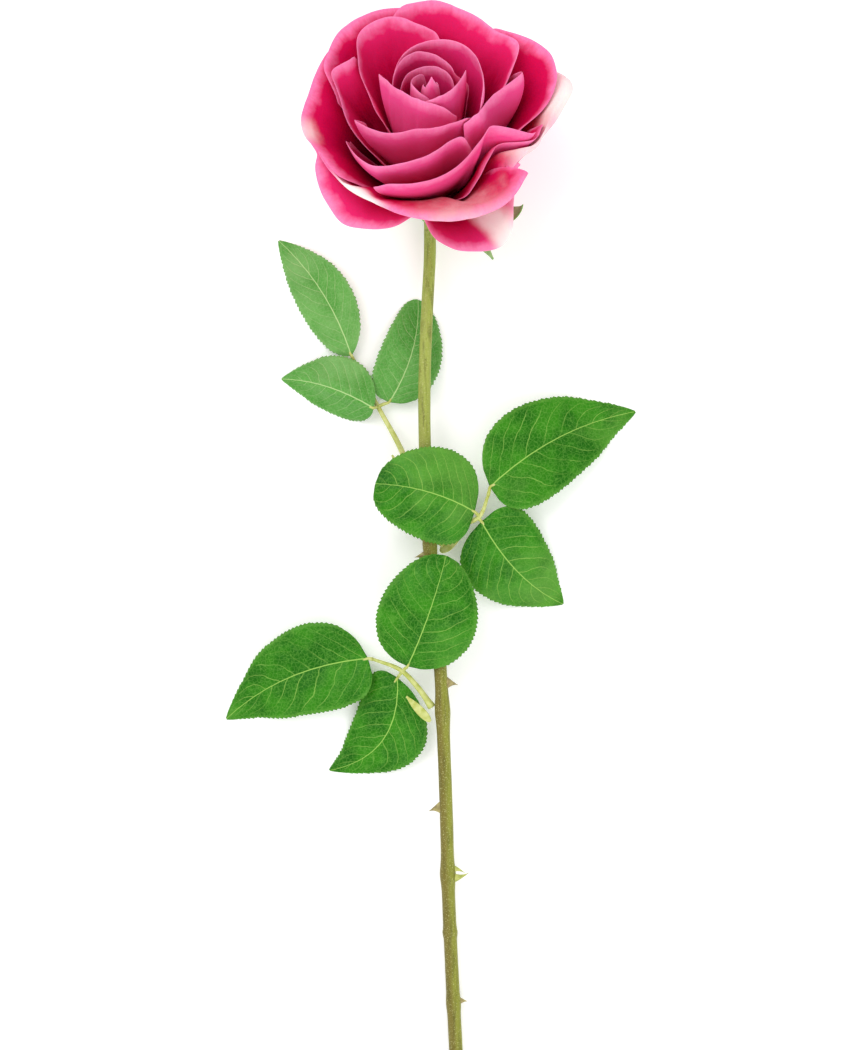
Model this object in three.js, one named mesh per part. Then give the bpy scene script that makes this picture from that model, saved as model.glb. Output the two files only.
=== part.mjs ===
// A cut rose lying on a table: one open bloom on a leafy stem.
//
// Millimetres and degrees. +Z is up and the table is Z = 0. The stem lies along Y with the bloom at the
// +Y end, and the bloom's axis rises from the stem towards +Z. Places are written from a point near the
// middle of the rose, and the finished rose is moved so that the origin is the middle of its footprint
// on the table.
//
// The bloom has its own cylinder frame: "turn" is the angle round the bloom's axis, 0 at the side that
// looks up from the table and 90 towards +X, "radius" is the distance from the axis, and "rise" is the
// height above the base.

import * as THREE from "three";

// ---- Driving dimensions -----------------------------------------------------------------------------

const BLOOM = {
  radius: 50, // how far the widest petals reach from the axis
  height: 61, // the bud's tip above the base
  tilt: 47, // the axis above the table
  base: [0.9, 122, 21.5], // where the axis starts
};
const PETAL = {
  thickness: 0.5,
  spacing: 1.2, // between the middles of two petals that lie together
  columns: 12, // degrees between the lines a petal is drawn on
  rows: 6,
  shoulder: 0.5, // where a petal is widest, as a share of its length
  taper: 3, // how late it narrows below that
  settling: 18, // rounds of moving a petal clear of the ones inside it
  resting: 8, // outermost petals that may lie on each other on the table
};
const RECEPTACLE = { radius: 7.5, dome: 6, length: 10, neck: 3.1, sides: 20 };
const SEPAL = { span: 17, footRise: -1.6, side: [0.5, 0.2] }; // side: an edge's shares
const STEM = { neckRadius: 2.25, cutRadius: 2.6, sides: 10, steps: 36, cutSlant: 30 };
const STALK = { baseRadius: 1.3, tipRadius: 0.6, sides: 6, steps: 9 };
const LEAFLET = { thickness: 0.7, stations: 10, across: 4, baseWidth: 0.7, tipWidth: 0.35 };
const THORN = { sides: 6, steps: 4 };
const GAP = 0.3; // between pieces that touch

// ---- Petals, from the heart outwards ----------------------------------------------------------------
// turn: where the petal's middle stands. span: degrees from its middle to an edge. reach and rise: its
// rim at the low-turn edge, the middle and the high-turn edge, as shares of the bloom's radius and
// height. rim: which way the rim points, 90 along the axis, 0 straight out and negative where it rolls
// back.

const PETALS = [
  { turn: 20, span: 140, reach: [0.05, 0.05, 0.05], rise: [0.93, 1.0, 0.93], rim: 96 },
  { turn: 280, span: 100, reach: [0.13, 0.12, 0.13], rise: [0.9, 0.98, 0.9], rim: 94 },
  { turn: 180, span: 100, reach: [0.18, 0.18, 0.22], rise: [0.91, 0.95, 0.91], rim: 97 },
  { turn: 45, span: 70, reach: [0.2, 0.19, 0.28], rise: [0.96, 0.98, 0.98], rim: 92 },
  { turn: 212, span: 66, reach: [0.24, 0.28, 0.3], rise: [0.98, 1.04, 0.94], rim: 100 },
  { turn: 125, span: 62, reach: [0.4, 0.37, 0.33], rise: [0.9, 1.05, 1.02], rim: 98 },
  { turn: 308, span: 60, reach: [0.39, 0.28, 0.26], rise: [0.94, 0.97, 0.97], rim: 88 },
  { turn: 225, span: 56, reach: [0.6, 0.68, 0.4], rise: [1.0, 0.98, 0.7], rim: 62 },
  { turn: 346, span: 58, reach: [0.62, 0.42, 0.4], rise: [0.8, 0.87, 0.87], rim: 76 },
  { turn: 76, span: 40, reach: [0.46, 0.52, 0.8], rise: [0.8, 0.82, 0.9], rim: 66 },
  { turn: 158, span: 44, reach: [0.78, 0.74, 0.78], rise: [0.93, 1.04, 0.98], rim: 55 },
  { turn: 272, span: 46, reach: [0.8, 0.66, 0.46], rise: [0.9, 0.75, 0.5], rim: 60 },
  { turn: 342, span: 62, reach: [0.68, 0.66, 0.5], rise: [0.66, 0.76, 0.8], rim: 68 },
  { turn: 20, span: 54, reach: [0.8, 0.64, 0.82], rise: [0.64, 0.71, 0.82], rim: 56 },
  { turn: 112, span: 38, reach: [0.66, 1.0, 0.8], rise: [0.62, 0.86, 0.95], rim: 30 },
  { turn: 218, span: 42, reach: [0.82, 0.93, 0.86], rise: [0.92, 0.9, 0.7], rim: 30 },
  { turn: 50, span: 36, reach: [0.78, 0.72, 0.88], rise: [0.52, 0.66, 0.68], rim: 10 },
  { turn: 270, span: 42, reach: [0.9, 0.95, 0.8], rise: [0.8, 0.68, 0.5], rim: 12 },
  { turn: 356, span: 52, reach: [0.92, 0.88, 0.92], rise: [0.58, 0.48, 0.66], rim: -38 },
  { turn: 84, span: 36, reach: [0.7, 0.9, 1.04], rise: [0.52, 0.62, 0.74], rim: -5 },
  { turn: 166, span: 42, reach: [0.92, 0.98, 0.92], rise: [0.6, 0.7, 0.6], rim: 15 },
  { turn: 306, span: 36, reach: [0.92, 0.9, 0.46], rise: [0.6, 0.26, 0.14], rim: -20 },
  { turn: 232, span: 42, reach: [0.94, 0.98, 0.86], rise: [0.5, 0.58, 0.48], rim: 0 },
  { turn: 134, span: 38, reach: [0.78, 0.98, 0.94], rise: [0.36, 0.5, 0.4], rim: -10 },
  { turn: 30, span: 38, reach: [0.48, 0.88, 0.76], rise: [0.14, 0.13, 0.46], rim: -35 },
  { turn: 188, span: 42, reach: [0.96, 1.02, 0.96], rise: [0.26, 0.3, 0.24], rim: -8 },
];

// A sepal: the turn of its middle, how far its tip reaches and rises, and which way the tip points.
const SEPALS = [
  { turn: 48, reach: 32, rise: -11, point: -50 },
  { turn: 84, reach: 34, rise: 4, point: 75 },
  { turn: 165, reach: 32, rise: -11, point: -50 },
  { turn: 237, reach: 32, rise: -11, point: -50 },
  { turn: 284, reach: 30, rise: -4, point: -20 },
];

// ---- Stem, leaves and thorns: places are [along X, along Y, above the table] ------------------------

const STEM_POINTS = [
  [0.9, 102, 8],
  [0, 84, 10.6],
  [-0.8, 66, 12.6],
  [-1.2, 46, 13.4],
  [-0.8, 24, 13.8],
  [0.6, -4, 13.6],
  [3.2, -34, 12.8],
  [5.2, -60, 11.6],
  [6.2, -84, 10.2],
  [7.2, -112, 8.4],
  [7.8, -136, 6.8],
  [8.8, -160, 5.2],
  [10.4, -192, 3.2],
  [12, -222, 2.65],
];

// A leaf: its stalk from the stem past where the side leaflets join it, the stipule at its foot, and
// its leaflets. Parts that dip below the table lie flat on it. A leaflet's bow is how far its midrib
// bends left of the straight line from foot to tip, arch how far it rises above it, fold the angle of
// each half above flat, and roll how far the blade leans, right side down. The lower ovate is, the
// nearer the foot it is widest, and the lower blunt is, the rounder its ends.

const LEAVES = [
  {
    name: "upper",
    stalk: [[-3.8, 13, 10.4], [-10.4, 29.4, 7.8], [-18.6, 44.5, 4.6], [-28, 62.5, 2.6]],
    stipule: { foot: [-5, 10.5, 8], tip: [-13.4, 26.5, 5.6], width: 2.2 },
    leaflets: [
      {
        foot: [-28.9, 64.4, 3.2], tip: [-56.4, 107.8, -2.5],
        width: 10.6, bow: -3.4, arch: 4, fold: 8, roll: -14, ovate: 0.8,
      },
      {
        foot: [-20.4, 44.2, 8.4], tip: [-55.4, 55.4, -1],
        width: 12.8, bow: -2.4, arch: 4, fold: -28, roll: -18,
      },
      {
        foot: [-14.4, 46.6, 4.4], tip: [-3.6, 85.5, -2],
        width: 11.6, bow: -3.2, arch: 3, fold: 4, roll: 0, blunt: 0.5,
      },
    ],
  },
  {
    name: "middle",
    stalk: [[4.3, -7.4, 12.6], [10.5, -1.2, 13.2], [19.5, 3.2, 14.2], [22.8, 11, 13.6]],
    stipule: { foot: [4.8, -10.2, 10.4], tip: [13, -3.4, 10.8], width: 2 },
    leaflets: [
      {
        foot: [17.6, 5, 16.2], tip: [-19.5, 15.5, 18.6],
        width: 18, bow: -2.4, arch: 5, fold: -8, roll: 3, blunt: 0.5,
      },
      {
        foot: [23.6, 14.4, 13], tip: [78.8, 43, -6],
        width: 17.6, bow: 4.6, arch: 2.5, fold: 6, roll: -2, ovate: 0.56,
      },
      {
        foot: [20.4, 1.2, 13.4], tip: [51.4, -30, -4],
        width: 16.6, bow: -3.6, arch: 4, fold: -6, roll: 4, ovate: 0.56,
      },
    ],
  },
  {
    name: "lower",
    stalk: [[1.6, -68.6, 9.4], [-3.8, -61, 11], [-10.2, -54.6, 12], [-20.6, -50.6, 9.4]],
    stipule: { foot: [1.2, -74.2, 10], tip: [-8, -64.6, 10.4], width: 2.2 },
    leaflets: [
      {
        foot: [-22.6, -50.4, 8.2], tip: [-76.3, -73.5, -5],
        width: 17, bow: -5, arch: 3, fold: 5, roll: 2, ovate: 0.56,
      },
      {
        foot: [-7.4, -53, 15.2], tip: [7, -11.6, 19.4],
        width: 18.4, bow: -1, arch: 6, fold: -4, ovate: 0.85, blunt: 0.5,
      },
      {
        foot: [-11.4, -57.8, 7.8], tip: [-37.1, -93.1, -3],
        width: 14.8, bow: 9.4, arch: 3, fold: -6, roll: 4, ovate: 0.6,
      },
    ],
  },
];

// along: the place on the stem measured along Y. side: the angle round the stem, 0 straight up and 90
// towards +X. hook: how far the point bends towards the stem's cut end.
const THORNS = [
  { along: -11.2, side: -84, length: 4.6, foot: 2.2, hook: 0.6 },
  { along: -59.5, side: 86, length: 4.4, foot: 3, hook: 1.2 },
  { along: -106.5, side: -88, length: 4.8, foot: 3, hook: 1.4 },
  { along: -180, side: 84, length: 2.6, foot: 1.8, hook: 0.4 },
];
const BUD = { along: -133.5, side: 80, length: 5.6, foot: 2, hook: -2.2, scaleLength: 4, scaleFoot: 1.5 };

// ---- Finishes ---------------------------------------------------------------------------------------

const finish = (color, roughness) => new THREE.MeshStandardMaterial({ color, roughness, metalness: 0 });
const PETAL_COLORS = { heart: "#a8123f", middle: "#c92a5c", outer: "#e07a9d", back: "#f1c3d0" };
const COLORS = { stem: "#8a8640", stalk: "#b3bd63", leaf: "#2c7a1e", sepal: "#4f8a2b", thorn: "#8d7a45" };
const ROUGHNESS = { petal: 0.65, leaf: 0.45, stem: 0.6 };

// ---- Shapes -----------------------------------------------------------------------------------------

const radians = THREE.MathUtils.degToRad;
const lerp = THREE.MathUtils.lerp;

/** A value that runs through three given ones as u goes from -1 through 0 to 1. */
function through([low, middle, high], u) {
  return middle + ((high - low) / 2) * u + ((high + low) / 2 - middle) * u * u;
}

/** A closed shell: each point moved half the thickness to both sides, never below the table. */
function plate(grid, thickness) {
  const rows = grid.length;
  const columns = grid[0].length;
  const hold = THREE.MathUtils.clamp;
  const at = (r, c) => grid[hold(r, 0, rows - 1)][hold(c, 0, columns - 1)];
  const sides = [1, -1].map((side) =>
    grid.map((row, r) =>
      row.map((point, c) => {
        const along = at(r + 1, c).clone().sub(at(r - 1, c));
        const across = at(r, c + 1).clone().sub(at(r, c - 1));
        const normal = across.cross(along).normalize();
        const moved = point.clone().addScaledVector(normal, (side * thickness) / 2);
        moved.z = Math.max(moved.z, 0);
        return moved;
      }),
    ),
  );
  const positions = sides.flat(2).flatMap((p) => [p.x, p.y, p.z]);
  const index = (side, r, c) => side * rows * columns + r * columns + c;
  const faces = [];
  const quad = (a, b, c, d) => faces.push(a, b, c, a, c, d);
  for (let r = 0; r + 1 < rows; r++) {
    for (let c = 0; c + 1 < columns; c++) {
      quad(index(0, r, c), index(0, r, c + 1), index(0, r + 1, c + 1), index(0, r + 1, c));
      quad(index(1, r, c), index(1, r + 1, c), index(1, r + 1, c + 1), index(1, r, c + 1));
    }
  }
  for (let c = 0; c + 1 < columns; c++) {
    quad(index(1, 0, c), index(1, 0, c + 1), index(0, 0, c + 1), index(0, 0, c));
    const last = rows - 1;
    quad(index(0, last, c), index(0, last, c + 1), index(1, last, c + 1), index(1, last, c));
  }
  for (let r = 0; r + 1 < rows; r++) {
    quad(index(0, r, 0), index(0, r + 1, 0), index(1, r + 1, 0), index(1, r, 0));
    const last = columns - 1;
    quad(index(1, r, last), index(1, r + 1, last), index(0, r + 1, last), index(0, r, last));
  }
  return closed(positions, faces);
}

/** A geometry from points and faces, turned to face outwards. */
function closed(positions, faces) {
  const corner = (i) => new THREE.Vector3().fromArray(positions, faces[i] * 3);
  let volume = 0;
  for (let i = 0; i < faces.length; i += 3) {
    volume += corner(i).dot(corner(i + 1).cross(corner(i + 2)));
  }
  if (volume < 0) faces.reverse();
  const geometry = new THREE.BufferGeometry();
  geometry.setAttribute("position", new THREE.Float32BufferAttribute(positions, 3));
  geometry.setIndex(faces);
  return geometry;
}

/** A closed tube along a smooth curve, its radius given by a function of the share of the way along. */
function tube(curve, radiusAt, steps, sides, slant = 0) {
  const frames = curve.computeFrenetFrames(steps, false);
  const positions = [];
  const faces = [];
  for (let s = 0; s <= steps; s++) {
    const centre = curve.getPointAt(s / steps);
    for (let k = 0; k < sides; k++) {
      const angle = (k / sides) * 2 * Math.PI;
      const radius = radiusAt(s / steps);
      const point = centre.clone();
      point.addScaledVector(frames.normals[s], Math.cos(angle) * radius);
      point.addScaledVector(frames.binormals[s], Math.sin(angle) * radius);
      if (s === steps) {
        point.addScaledVector(frames.tangents[s], Math.cos(angle) * radius * Math.tan(radians(slant)));
      }
      positions.push(point.x, point.y, point.z);
    }
  }
  for (let s = 0; s < steps; s++) {
    for (let k = 0; k < sides; k++) {
      const a = s * sides + k;
      const b = s * sides + ((k + 1) % sides);
      faces.push(a, b, b + sides, a, b + sides, a + sides);
    }
  }
  for (let k = 1; k + 1 < sides; k++) {
    faces.push(0, k + 1, k);
    faces.push(steps * sides, steps * sides + k, steps * sides + k + 1);
  }
  return closed(positions, faces);
}

const vectors = (points) => points.map((p) => new THREE.Vector3(...p));
const smooth = (points) => new THREE.CatmullRomCurve3(vectors(points), false, "centripetal");

// ---- The bloom --------------------------------------------------------------------------------------

const tilt = radians(BLOOM.tilt);
const AXIS = new THREE.Vector3(0, Math.cos(tilt), Math.sin(tilt));
const FRONT = new THREE.Vector3(0, -Math.sin(tilt), Math.cos(tilt));
const SIDE = new THREE.Vector3(1, 0, 0);

/** A place in the bloom's cylinder frame. */
function bloomPoint(turn, radius, rise) {
  const point = new THREE.Vector3(...BLOOM.base).addScaledVector(AXIS, rise);
  point.addScaledVector(FRONT, Math.cos(radians(turn)) * radius);
  return point.addScaledVector(SIDE, Math.sin(radians(turn)) * radius);
}

/** The drawn lines of one petal before it settles: a list of columns, each a list of [radius, rise]. */
function petalColumns(petal, layer) {
  const level = radians(lerp(84, 6, layer));
  const step = PETAL.columns;
  const first = Math.round((petal.turn - petal.span) / step);
  const last = Math.round((petal.turn + petal.span) / step);
  const columns = [];
  for (let column = first; column <= last; column++) {
    const u = THREE.MathUtils.clamp((column * step - petal.turn) / petal.span, -1, 1);
    const seat = [RECEPTACLE.radius + GAP, RECEPTACLE.dome + GAP];
    const foot = petal.foot ?? [seat[0] * Math.cos(level), seat[1] * Math.sin(level)];
    const rim = [through(petal.reach, u) * BLOOM.radius, through(petal.rise, u) * BLOOM.height];
    const length = Math.hypot(rim[0] - foot[0], rim[1] - foot[1]);
    const start = petal.start ?? Math.min(level, radians(62));
    const end = radians(petal.rim);
    const pull = [Math.cos(start) * length, Math.sin(start) * length];
    const push = [Math.cos(end) * length * 0.85, Math.sin(end) * length * 0.85];
    const low = PETAL.shoulder * Math.abs(u) ** PETAL.taper;
    const line = [];
    for (let row = 0; row <= PETAL.rows; row++) {
      const v = lerp(low, 1, row / PETAL.rows);
      const [h0, h1] = [2 * v ** 3 - 3 * v ** 2 + 1, v ** 3 - 2 * v ** 2 + v];
      const [h2, h3] = [3 * v ** 2 - 2 * v ** 3, v ** 3 - v ** 2];
      const place = [0, 1].map((k) => h0 * foot[k] + h1 * pull[k] + h2 * rim[k] + h3 * push[k]);
      line.push([Math.max(place[0], 0.9), place[1]]);
    }
    columns.push({ turn: column * step, line });
  }
  return columns;
}

/** How far, and which way, a point has to move to be the wanted distance outside a drawn line. */
function clearOf(point, line, distance) {
  let best = null;
  for (let k = 0; k + 1 < line.length; k++) {
    const [a, b] = [line[k], line[k + 1]];
    const [dx, dy] = [b[0] - a[0], b[1] - a[1]];
    const span = dx * dx + dy * dy || 1e-9;
    const t = THREE.MathUtils.clamp(((point[0] - a[0]) * dx + (point[1] - a[1]) * dy) / span, 0, 1);
    const off = [point[0] - a[0] - t * dx, point[1] - a[1] - t * dy];
    const away = Math.hypot(...off);
    if (!best || away < best.away) {
      const inside = t > 0 && t < 1;
      const beyond = (k === 0 && t === 0) || (k + 2 === line.length && t === 1);
      best = { away, off, normal: [dy / Math.sqrt(span), -dx / Math.sqrt(span)], inside, beyond };
    }
  }
  if (best.beyond) {
    if (best.away >= distance) return null;
    const unit = best.away > 1e-6 ? best.off.map((x) => x / best.away) : best.normal;
    return unit.map((x) => x * (distance - best.away));
  }
  const outside = best.off[0] * best.normal[0] + best.off[1] * best.normal[1];
  const signed = best.inside ? outside : Math.sign(outside || 1) * best.away;
  if (signed >= distance || signed < -4 * distance) return null;
  return best.normal.map((x) => x * (distance - signed));
}

/** Moves a petal's lines outside those of every petal within it, and eases the moves. */
function settle(columns, inner, floor) {
  const larger = (a, b) => (b && Math.hypot(...b) > Math.hypot(...a) ? b : a);
  for (let round = 0; round < PETAL.settling; round++) {
    const moves = columns.map(({ turn, line }) => {
      const near = inner.filter((other) => (other.turn - turn) % 360 === 0).map((other) => other.line);
      const move = line.map(() => [0, 0]);
      for (const other of near) {
        line.forEach((point, r) => {
          move[r] = larger(move[r], clearOf(point, other, PETAL.spacing));
        });
        for (const point of other) {
          for (let r = 0; r + 1 < line.length; r++) {
            const back = clearOf(point, [line[r + 1], line[r]], PETAL.spacing);
            const middle = back && Math.hypot(...back) < 2 * PETAL.spacing;
            if (!middle || !within(point, line[r], line[r + 1])) continue;
            move[r] = larger(move[r], [-back[0], -back[1]]);
            move[r + 1] = larger(move[r + 1], [-back[0], -back[1]]);
          }
        }
      }
      line.forEach((point, r) => {
        const height = bloomPoint(turn, point[0] + move[r][0], point[1] + move[r][1]).z;
        const slope = [Math.cos(radians(turn)) * Math.cos(tilt), Math.sin(tilt)];
        const size = slope[0] ** 2 + slope[1] ** 2;
        const lack = Math.max(0, floor - height) / size;
        move[r] = [move[r][0] + slope[0] * lack, move[r][1] + slope[1] * lack];
      });
      return move;
    });
    const ease = round + 3 < PETAL.settling;
    columns.forEach(({ line }, c) => {
      line.forEach((point, r) => {
        const around = [moves[c - 1]?.[r], moves[c + 1]?.[r], moves[c][r - 1], moves[c][r + 1]];
        const next = [0, 1].map((k) => {
          const sum = around.reduce((total, m) => total + (m ? m[k] : moves[c][r][k]), 0);
          return ease ? 0.5 * moves[c][r][k] + 0.125 * sum : moves[c][r][k];
        });
        point[0] = Math.max(point[0] + next[0], 0.9);
        point[1] += next[1];
      });
    });
  }
  return columns;
}

/** Whether a point lies beside the stretch from a to b, and not off its ends. */
function within(point, a, b) {
  const [dx, dy] = [b[0] - a[0], b[1] - a[1]];
  const t = ((point[0] - a[0]) * dx + (point[1] - a[1]) * dy) / (dx * dx + dy * dy || 1e-9);
  return t > 0 && t < 1;
}

function petalColor(layer) {
  const { heart, middle, outer, back } = PETAL_COLORS;
  if (layer < 0.25) return heart;
  if (layer < 0.5) return middle;
  return layer < 0.8 ? outer : back;
}

function bloom(add) {
  const [sideReach, sideRise] = SEPAL.side;
  const sepals = SEPALS.map(({ turn, reach, rise, point }, k) => ({
    turn,
    span: SEPAL.span,
    reach: [sideReach, 1, sideReach].map((share) => (share * reach) / BLOOM.radius),
    rise: [sideRise, 1, sideRise].map((share) => (share * rise) / BLOOM.height),
    rim: point,
    foot: [RECEPTACLE.radius + GAP + PETAL.thickness / 2, SEPAL.footRise],
    start: 0,
    sepal: k + 1,
  }));
  const inner = [];
  const all = [...PETALS, ...sepals];
  all.forEach((petal, index) => {
    const layer = Math.min(index / PETALS.length, 1);
    const outside = Math.max(0, PETALS.length - 1 - index);
    const floor = PETAL.thickness / 2 + (outside < PETAL.resting ? outside * PETAL.spacing : 0);
    const columns = settle(petalColumns(petal, layer), inner, floor);
    inner.push(...columns);
    const grid = [];
    for (let r = 0; r <= PETAL.rows; r++) {
      grid.push(columns.map(({ turn, line }) => bloomPoint(turn, ...line[r])));
    }
    const name = petal.sepal ? `sepal_${petal.sepal}` : `petal_${String(index + 1).padStart(2, "0")}`;
    const color = petal.sepal ? COLORS.sepal : petalColor(layer);
    const roughness = petal.sepal ? ROUGHNESS.leaf : ROUGHNESS.petal;
    add(name, plate(grid, PETAL.thickness), finish(color, roughness));
  });
}

/** The receptacle the petals stand on, with the hip below it. */
function receptacle() {
  const { radius, dome, length, neck, sides } = RECEPTACLE;
  const hip = [[neck + 0.6, -length + 1.5], [radius - 1, -length * 0.45]];
  const outline = [[0, -length], [neck, -length], ...hip];
  outline.push([radius, -1.2]);
  for (let degrees = 0; degrees < 90; degrees += 18) {
    outline.push([radius * Math.cos(radians(degrees)), dome * Math.sin(radians(degrees))]);
  }
  outline.push([0, dome]);
  const positions = [];
  const faces = [];
  const middle = outline.slice(1, -1);
  positions.push(...bloomPoint(0, 0, -length).toArray(), ...bloomPoint(0, 0, dome).toArray());
  middle.forEach(([ringRadius, rise]) => {
    for (let k = 0; k < sides; k++) {
      positions.push(...bloomPoint((k / sides) * 360, ringRadius, rise).toArray());
    }
  });
  const at = (ring, k) => 2 + ring * sides + (k % sides);
  for (let k = 0; k < sides; k++) {
    faces.push(0, at(0, k), at(0, k + 1));
    faces.push(1, at(middle.length - 1, k + 1), at(middle.length - 1, k));
    for (let ring = 0; ring + 1 < middle.length; ring++) {
      faces.push(at(ring, k), at(ring + 1, k), at(ring + 1, k + 1));
      faces.push(at(ring, k), at(ring + 1, k + 1), at(ring, k + 1));
    }
  }
  return closed(positions, faces);
}

// ---- The stem ---------------------------------------------------------------------------------------

const neck = bloomPoint(0, 0, -RECEPTACLE.length - GAP).toArray();
const neckAim = bloomPoint(0, 0, -RECEPTACLE.length - 7).toArray();
const STEM_CURVE = smooth([neck, neckAim, ...STEM_POINTS]);
const stemRadius = (share) => lerp(STEM.neckRadius, STEM.cutRadius, share);

/** A place on the stem's surface: where the stem passes the given Y, and which way is out there. */
function onStem(along, side) {
  let low = 0;
  let high = 1;
  for (let k = 0; k < 40; k++) {
    const half = (low + high) / 2;
    if (STEM_CURVE.getPointAt(half).y > along) low = half;
    else high = half;
  }
  const way = STEM_CURVE.getTangentAt(low);
  const right = new THREE.Vector3(0, 0, 1).cross(way).normalize();
  const up = way.clone().cross(right);
  const out = up.multiplyScalar(Math.cos(radians(side))).addScaledVector(right, Math.sin(radians(side)));
  const foot = STEM_CURVE.getPointAt(low).addScaledVector(out, stemRadius(low) + GAP);
  return { foot, out, way };
}

/** A small cone with an oval foot against the stem, bent along it by its hook. */
function thorn({ along, side, length, foot: footSize, hook }) {
  const { foot, out, way } = onStem(along, side);
  const across = out.clone().cross(way);
  const positions = [];
  const faces = [];
  for (let s = 0; s < THORN.steps; s++) {
    const share = s / THORN.steps;
    const centre = foot.clone().addScaledVector(out, share * length).addScaledVector(way, hook * share ** 2);
    const size = (1 - share) ** 1.4;
    for (let k = 0; k < THORN.sides; k++) {
      const angle = (k / THORN.sides) * 2 * Math.PI;
      const point = centre.clone().addScaledVector(way, Math.cos(angle) * footSize * size);
      point.addScaledVector(across, Math.sin(angle) * footSize * 0.5 * size);
      positions.push(point.x, point.y, point.z);
    }
  }
  const tip = foot.clone().addScaledVector(out, length).addScaledVector(way, hook);
  positions.push(tip.x, tip.y, tip.z);
  const last = THORN.steps * THORN.sides;
  for (let k = 0; k < THORN.sides; k++) {
    const next = (k + 1) % THORN.sides;
    for (let s = 0; s + 1 < THORN.steps; s++) {
      const ring = s * THORN.sides;
      faces.push(ring + k, ring + next, ring + THORN.sides + next);
      faces.push(ring + k, ring + THORN.sides + next, ring + THORN.sides + k);
    }
    faces.push(last - THORN.sides + k, last - THORN.sides + next, last);
    if (k > 0 && k + 1 < THORN.sides) faces.push(0, k + 1, k);
  }
  return closed(positions, faces);
}

// ---- The leaves -------------------------------------------------------------------------------------

/** A leaflet's blade: widest below its middle, bent along its midrib and folded or leaned across it. */
function leaflet(shape) {
  const { foot, tip, width, bow = 0, arch = 0, fold = 0, roll = 0, ovate = 0.7, blunt = 0.68 } = shape;
  const [start, end] = vectors([foot, tip]);
  const chord = end.clone().sub(start);
  const up = new THREE.Vector3(0, 0, 1);
  const left = up.clone().cross(chord).normalize();
  const rise = chord.clone().cross(left).normalize();
  const grid = [];
  for (let s = 0; s <= LEAFLET.stations; s++) {
    const share = s / LEAFLET.stations;
    const bend = 4 * share * (1 - share);
    const middle = start.clone().addScaledVector(chord, share);
    middle.addScaledVector(left, bow * bend).addScaledVector(rise, arch * bend);
    const swell = Math.max(Math.sin(Math.PI * share ** ovate), 0) ** blunt;
    const half = Math.max(width * swell, lerp(LEAFLET.baseWidth, LEAFLET.tipWidth, share));
    const row = [];
    for (let c = 0; c <= LEAFLET.across; c++) {
      const across = (2 * c) / LEAFLET.across - 1;
      const lean = radians(fold * Math.sign(across) - roll);
      const point = middle.clone().addScaledVector(left, -across * half * Math.cos(lean));
      row.push(point.addScaledVector(rise, across * half * Math.sin(lean)));
    }
    grid.push(row);
  }
  for (const point of grid.flat()) {
    point.z = Math.max(point.z, LEAFLET.thickness / 2);
  }
  return plate(grid, LEAFLET.thickness);
}

function leaf({ name, stalk, stipule, leaflets }, add) {
  const radiusAt = (share) => lerp(STALK.baseRadius, STALK.tipRadius, share);
  const stalkTube = tube(smooth(stalk), radiusAt, STALK.steps, STALK.sides);
  add(`leaf_stalk_${name}`, stalkTube, finish(COLORS.stalk, ROUGHNESS.stem));
  add(`stipule_${name}`, leaflet(stipule), finish(COLORS.stalk, ROUGHNESS.leaf));
  leaflets.forEach((shape, k) => {
    add(`leaflet_${name}_${k + 1}`, leaflet(shape), finish(COLORS.leaf, ROUGHNESS.leaf));
  });
}

// ---- Assembly ---------------------------------------------------------------------------------------

const rose = new THREE.Group();
rose.name = "cut_rose";

function add(name, geometry, material) {
  const mesh = new THREE.Mesh(geometry, material);
  mesh.name = name;
  rose.add(mesh);
}

add("receptacle", receptacle(), finish(COLORS.sepal, ROUGHNESS.stem));
bloom(add);
const stemTube = tube(STEM_CURVE, stemRadius, STEM.steps, STEM.sides, STEM.cutSlant);
add("stem", stemTube, finish(COLORS.stem, ROUGHNESS.stem));
THORNS.forEach((shape, k) => add(`thorn_${k + 1}`, thorn(shape), finish(COLORS.thorn, ROUGHNESS.stem)));
add("side_bud", thorn(BUD), finish(COLORS.stalk, ROUGHNESS.stem));
const scaleAlong = BUD.along + BUD.foot + BUD.scaleFoot + GAP;
const budScale = { ...BUD, along: scaleAlong, length: BUD.scaleLength, foot: BUD.scaleFoot, hook: 2 };
add("side_bud_scale", thorn(budScale), finish(COLORS.stalk, ROUGHNESS.stem));
LEAVES.forEach((shape) => leaf(shape, add));

const box = new THREE.Box3().setFromObject(rose);
const middle = box.getCenter(new THREE.Vector3());
rose.children.forEach((mesh) => mesh.geometry.translate(-middle.x, -middle.y, -box.min.z));

export default rose;
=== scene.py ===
"""The looks of a cut rose that lies on a table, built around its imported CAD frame.

Blender's objects are in metres. The pieces are drawn in millimetres in the part's own drawing frame, and are
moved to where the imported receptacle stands. The bloom has a cylinder frame of its own: "turn" is the angle
round its axis, 0 at the side that looks up from the table and 90 towards +X, "radius" is the distance from
the axis and "rise" is the height above the bloom's base.
"""

import logging
import math
from dataclasses import dataclass, field, replace
from enum import Enum
from typing import Sequence

import bpy
import numpy as np
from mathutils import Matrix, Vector, noise


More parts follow.
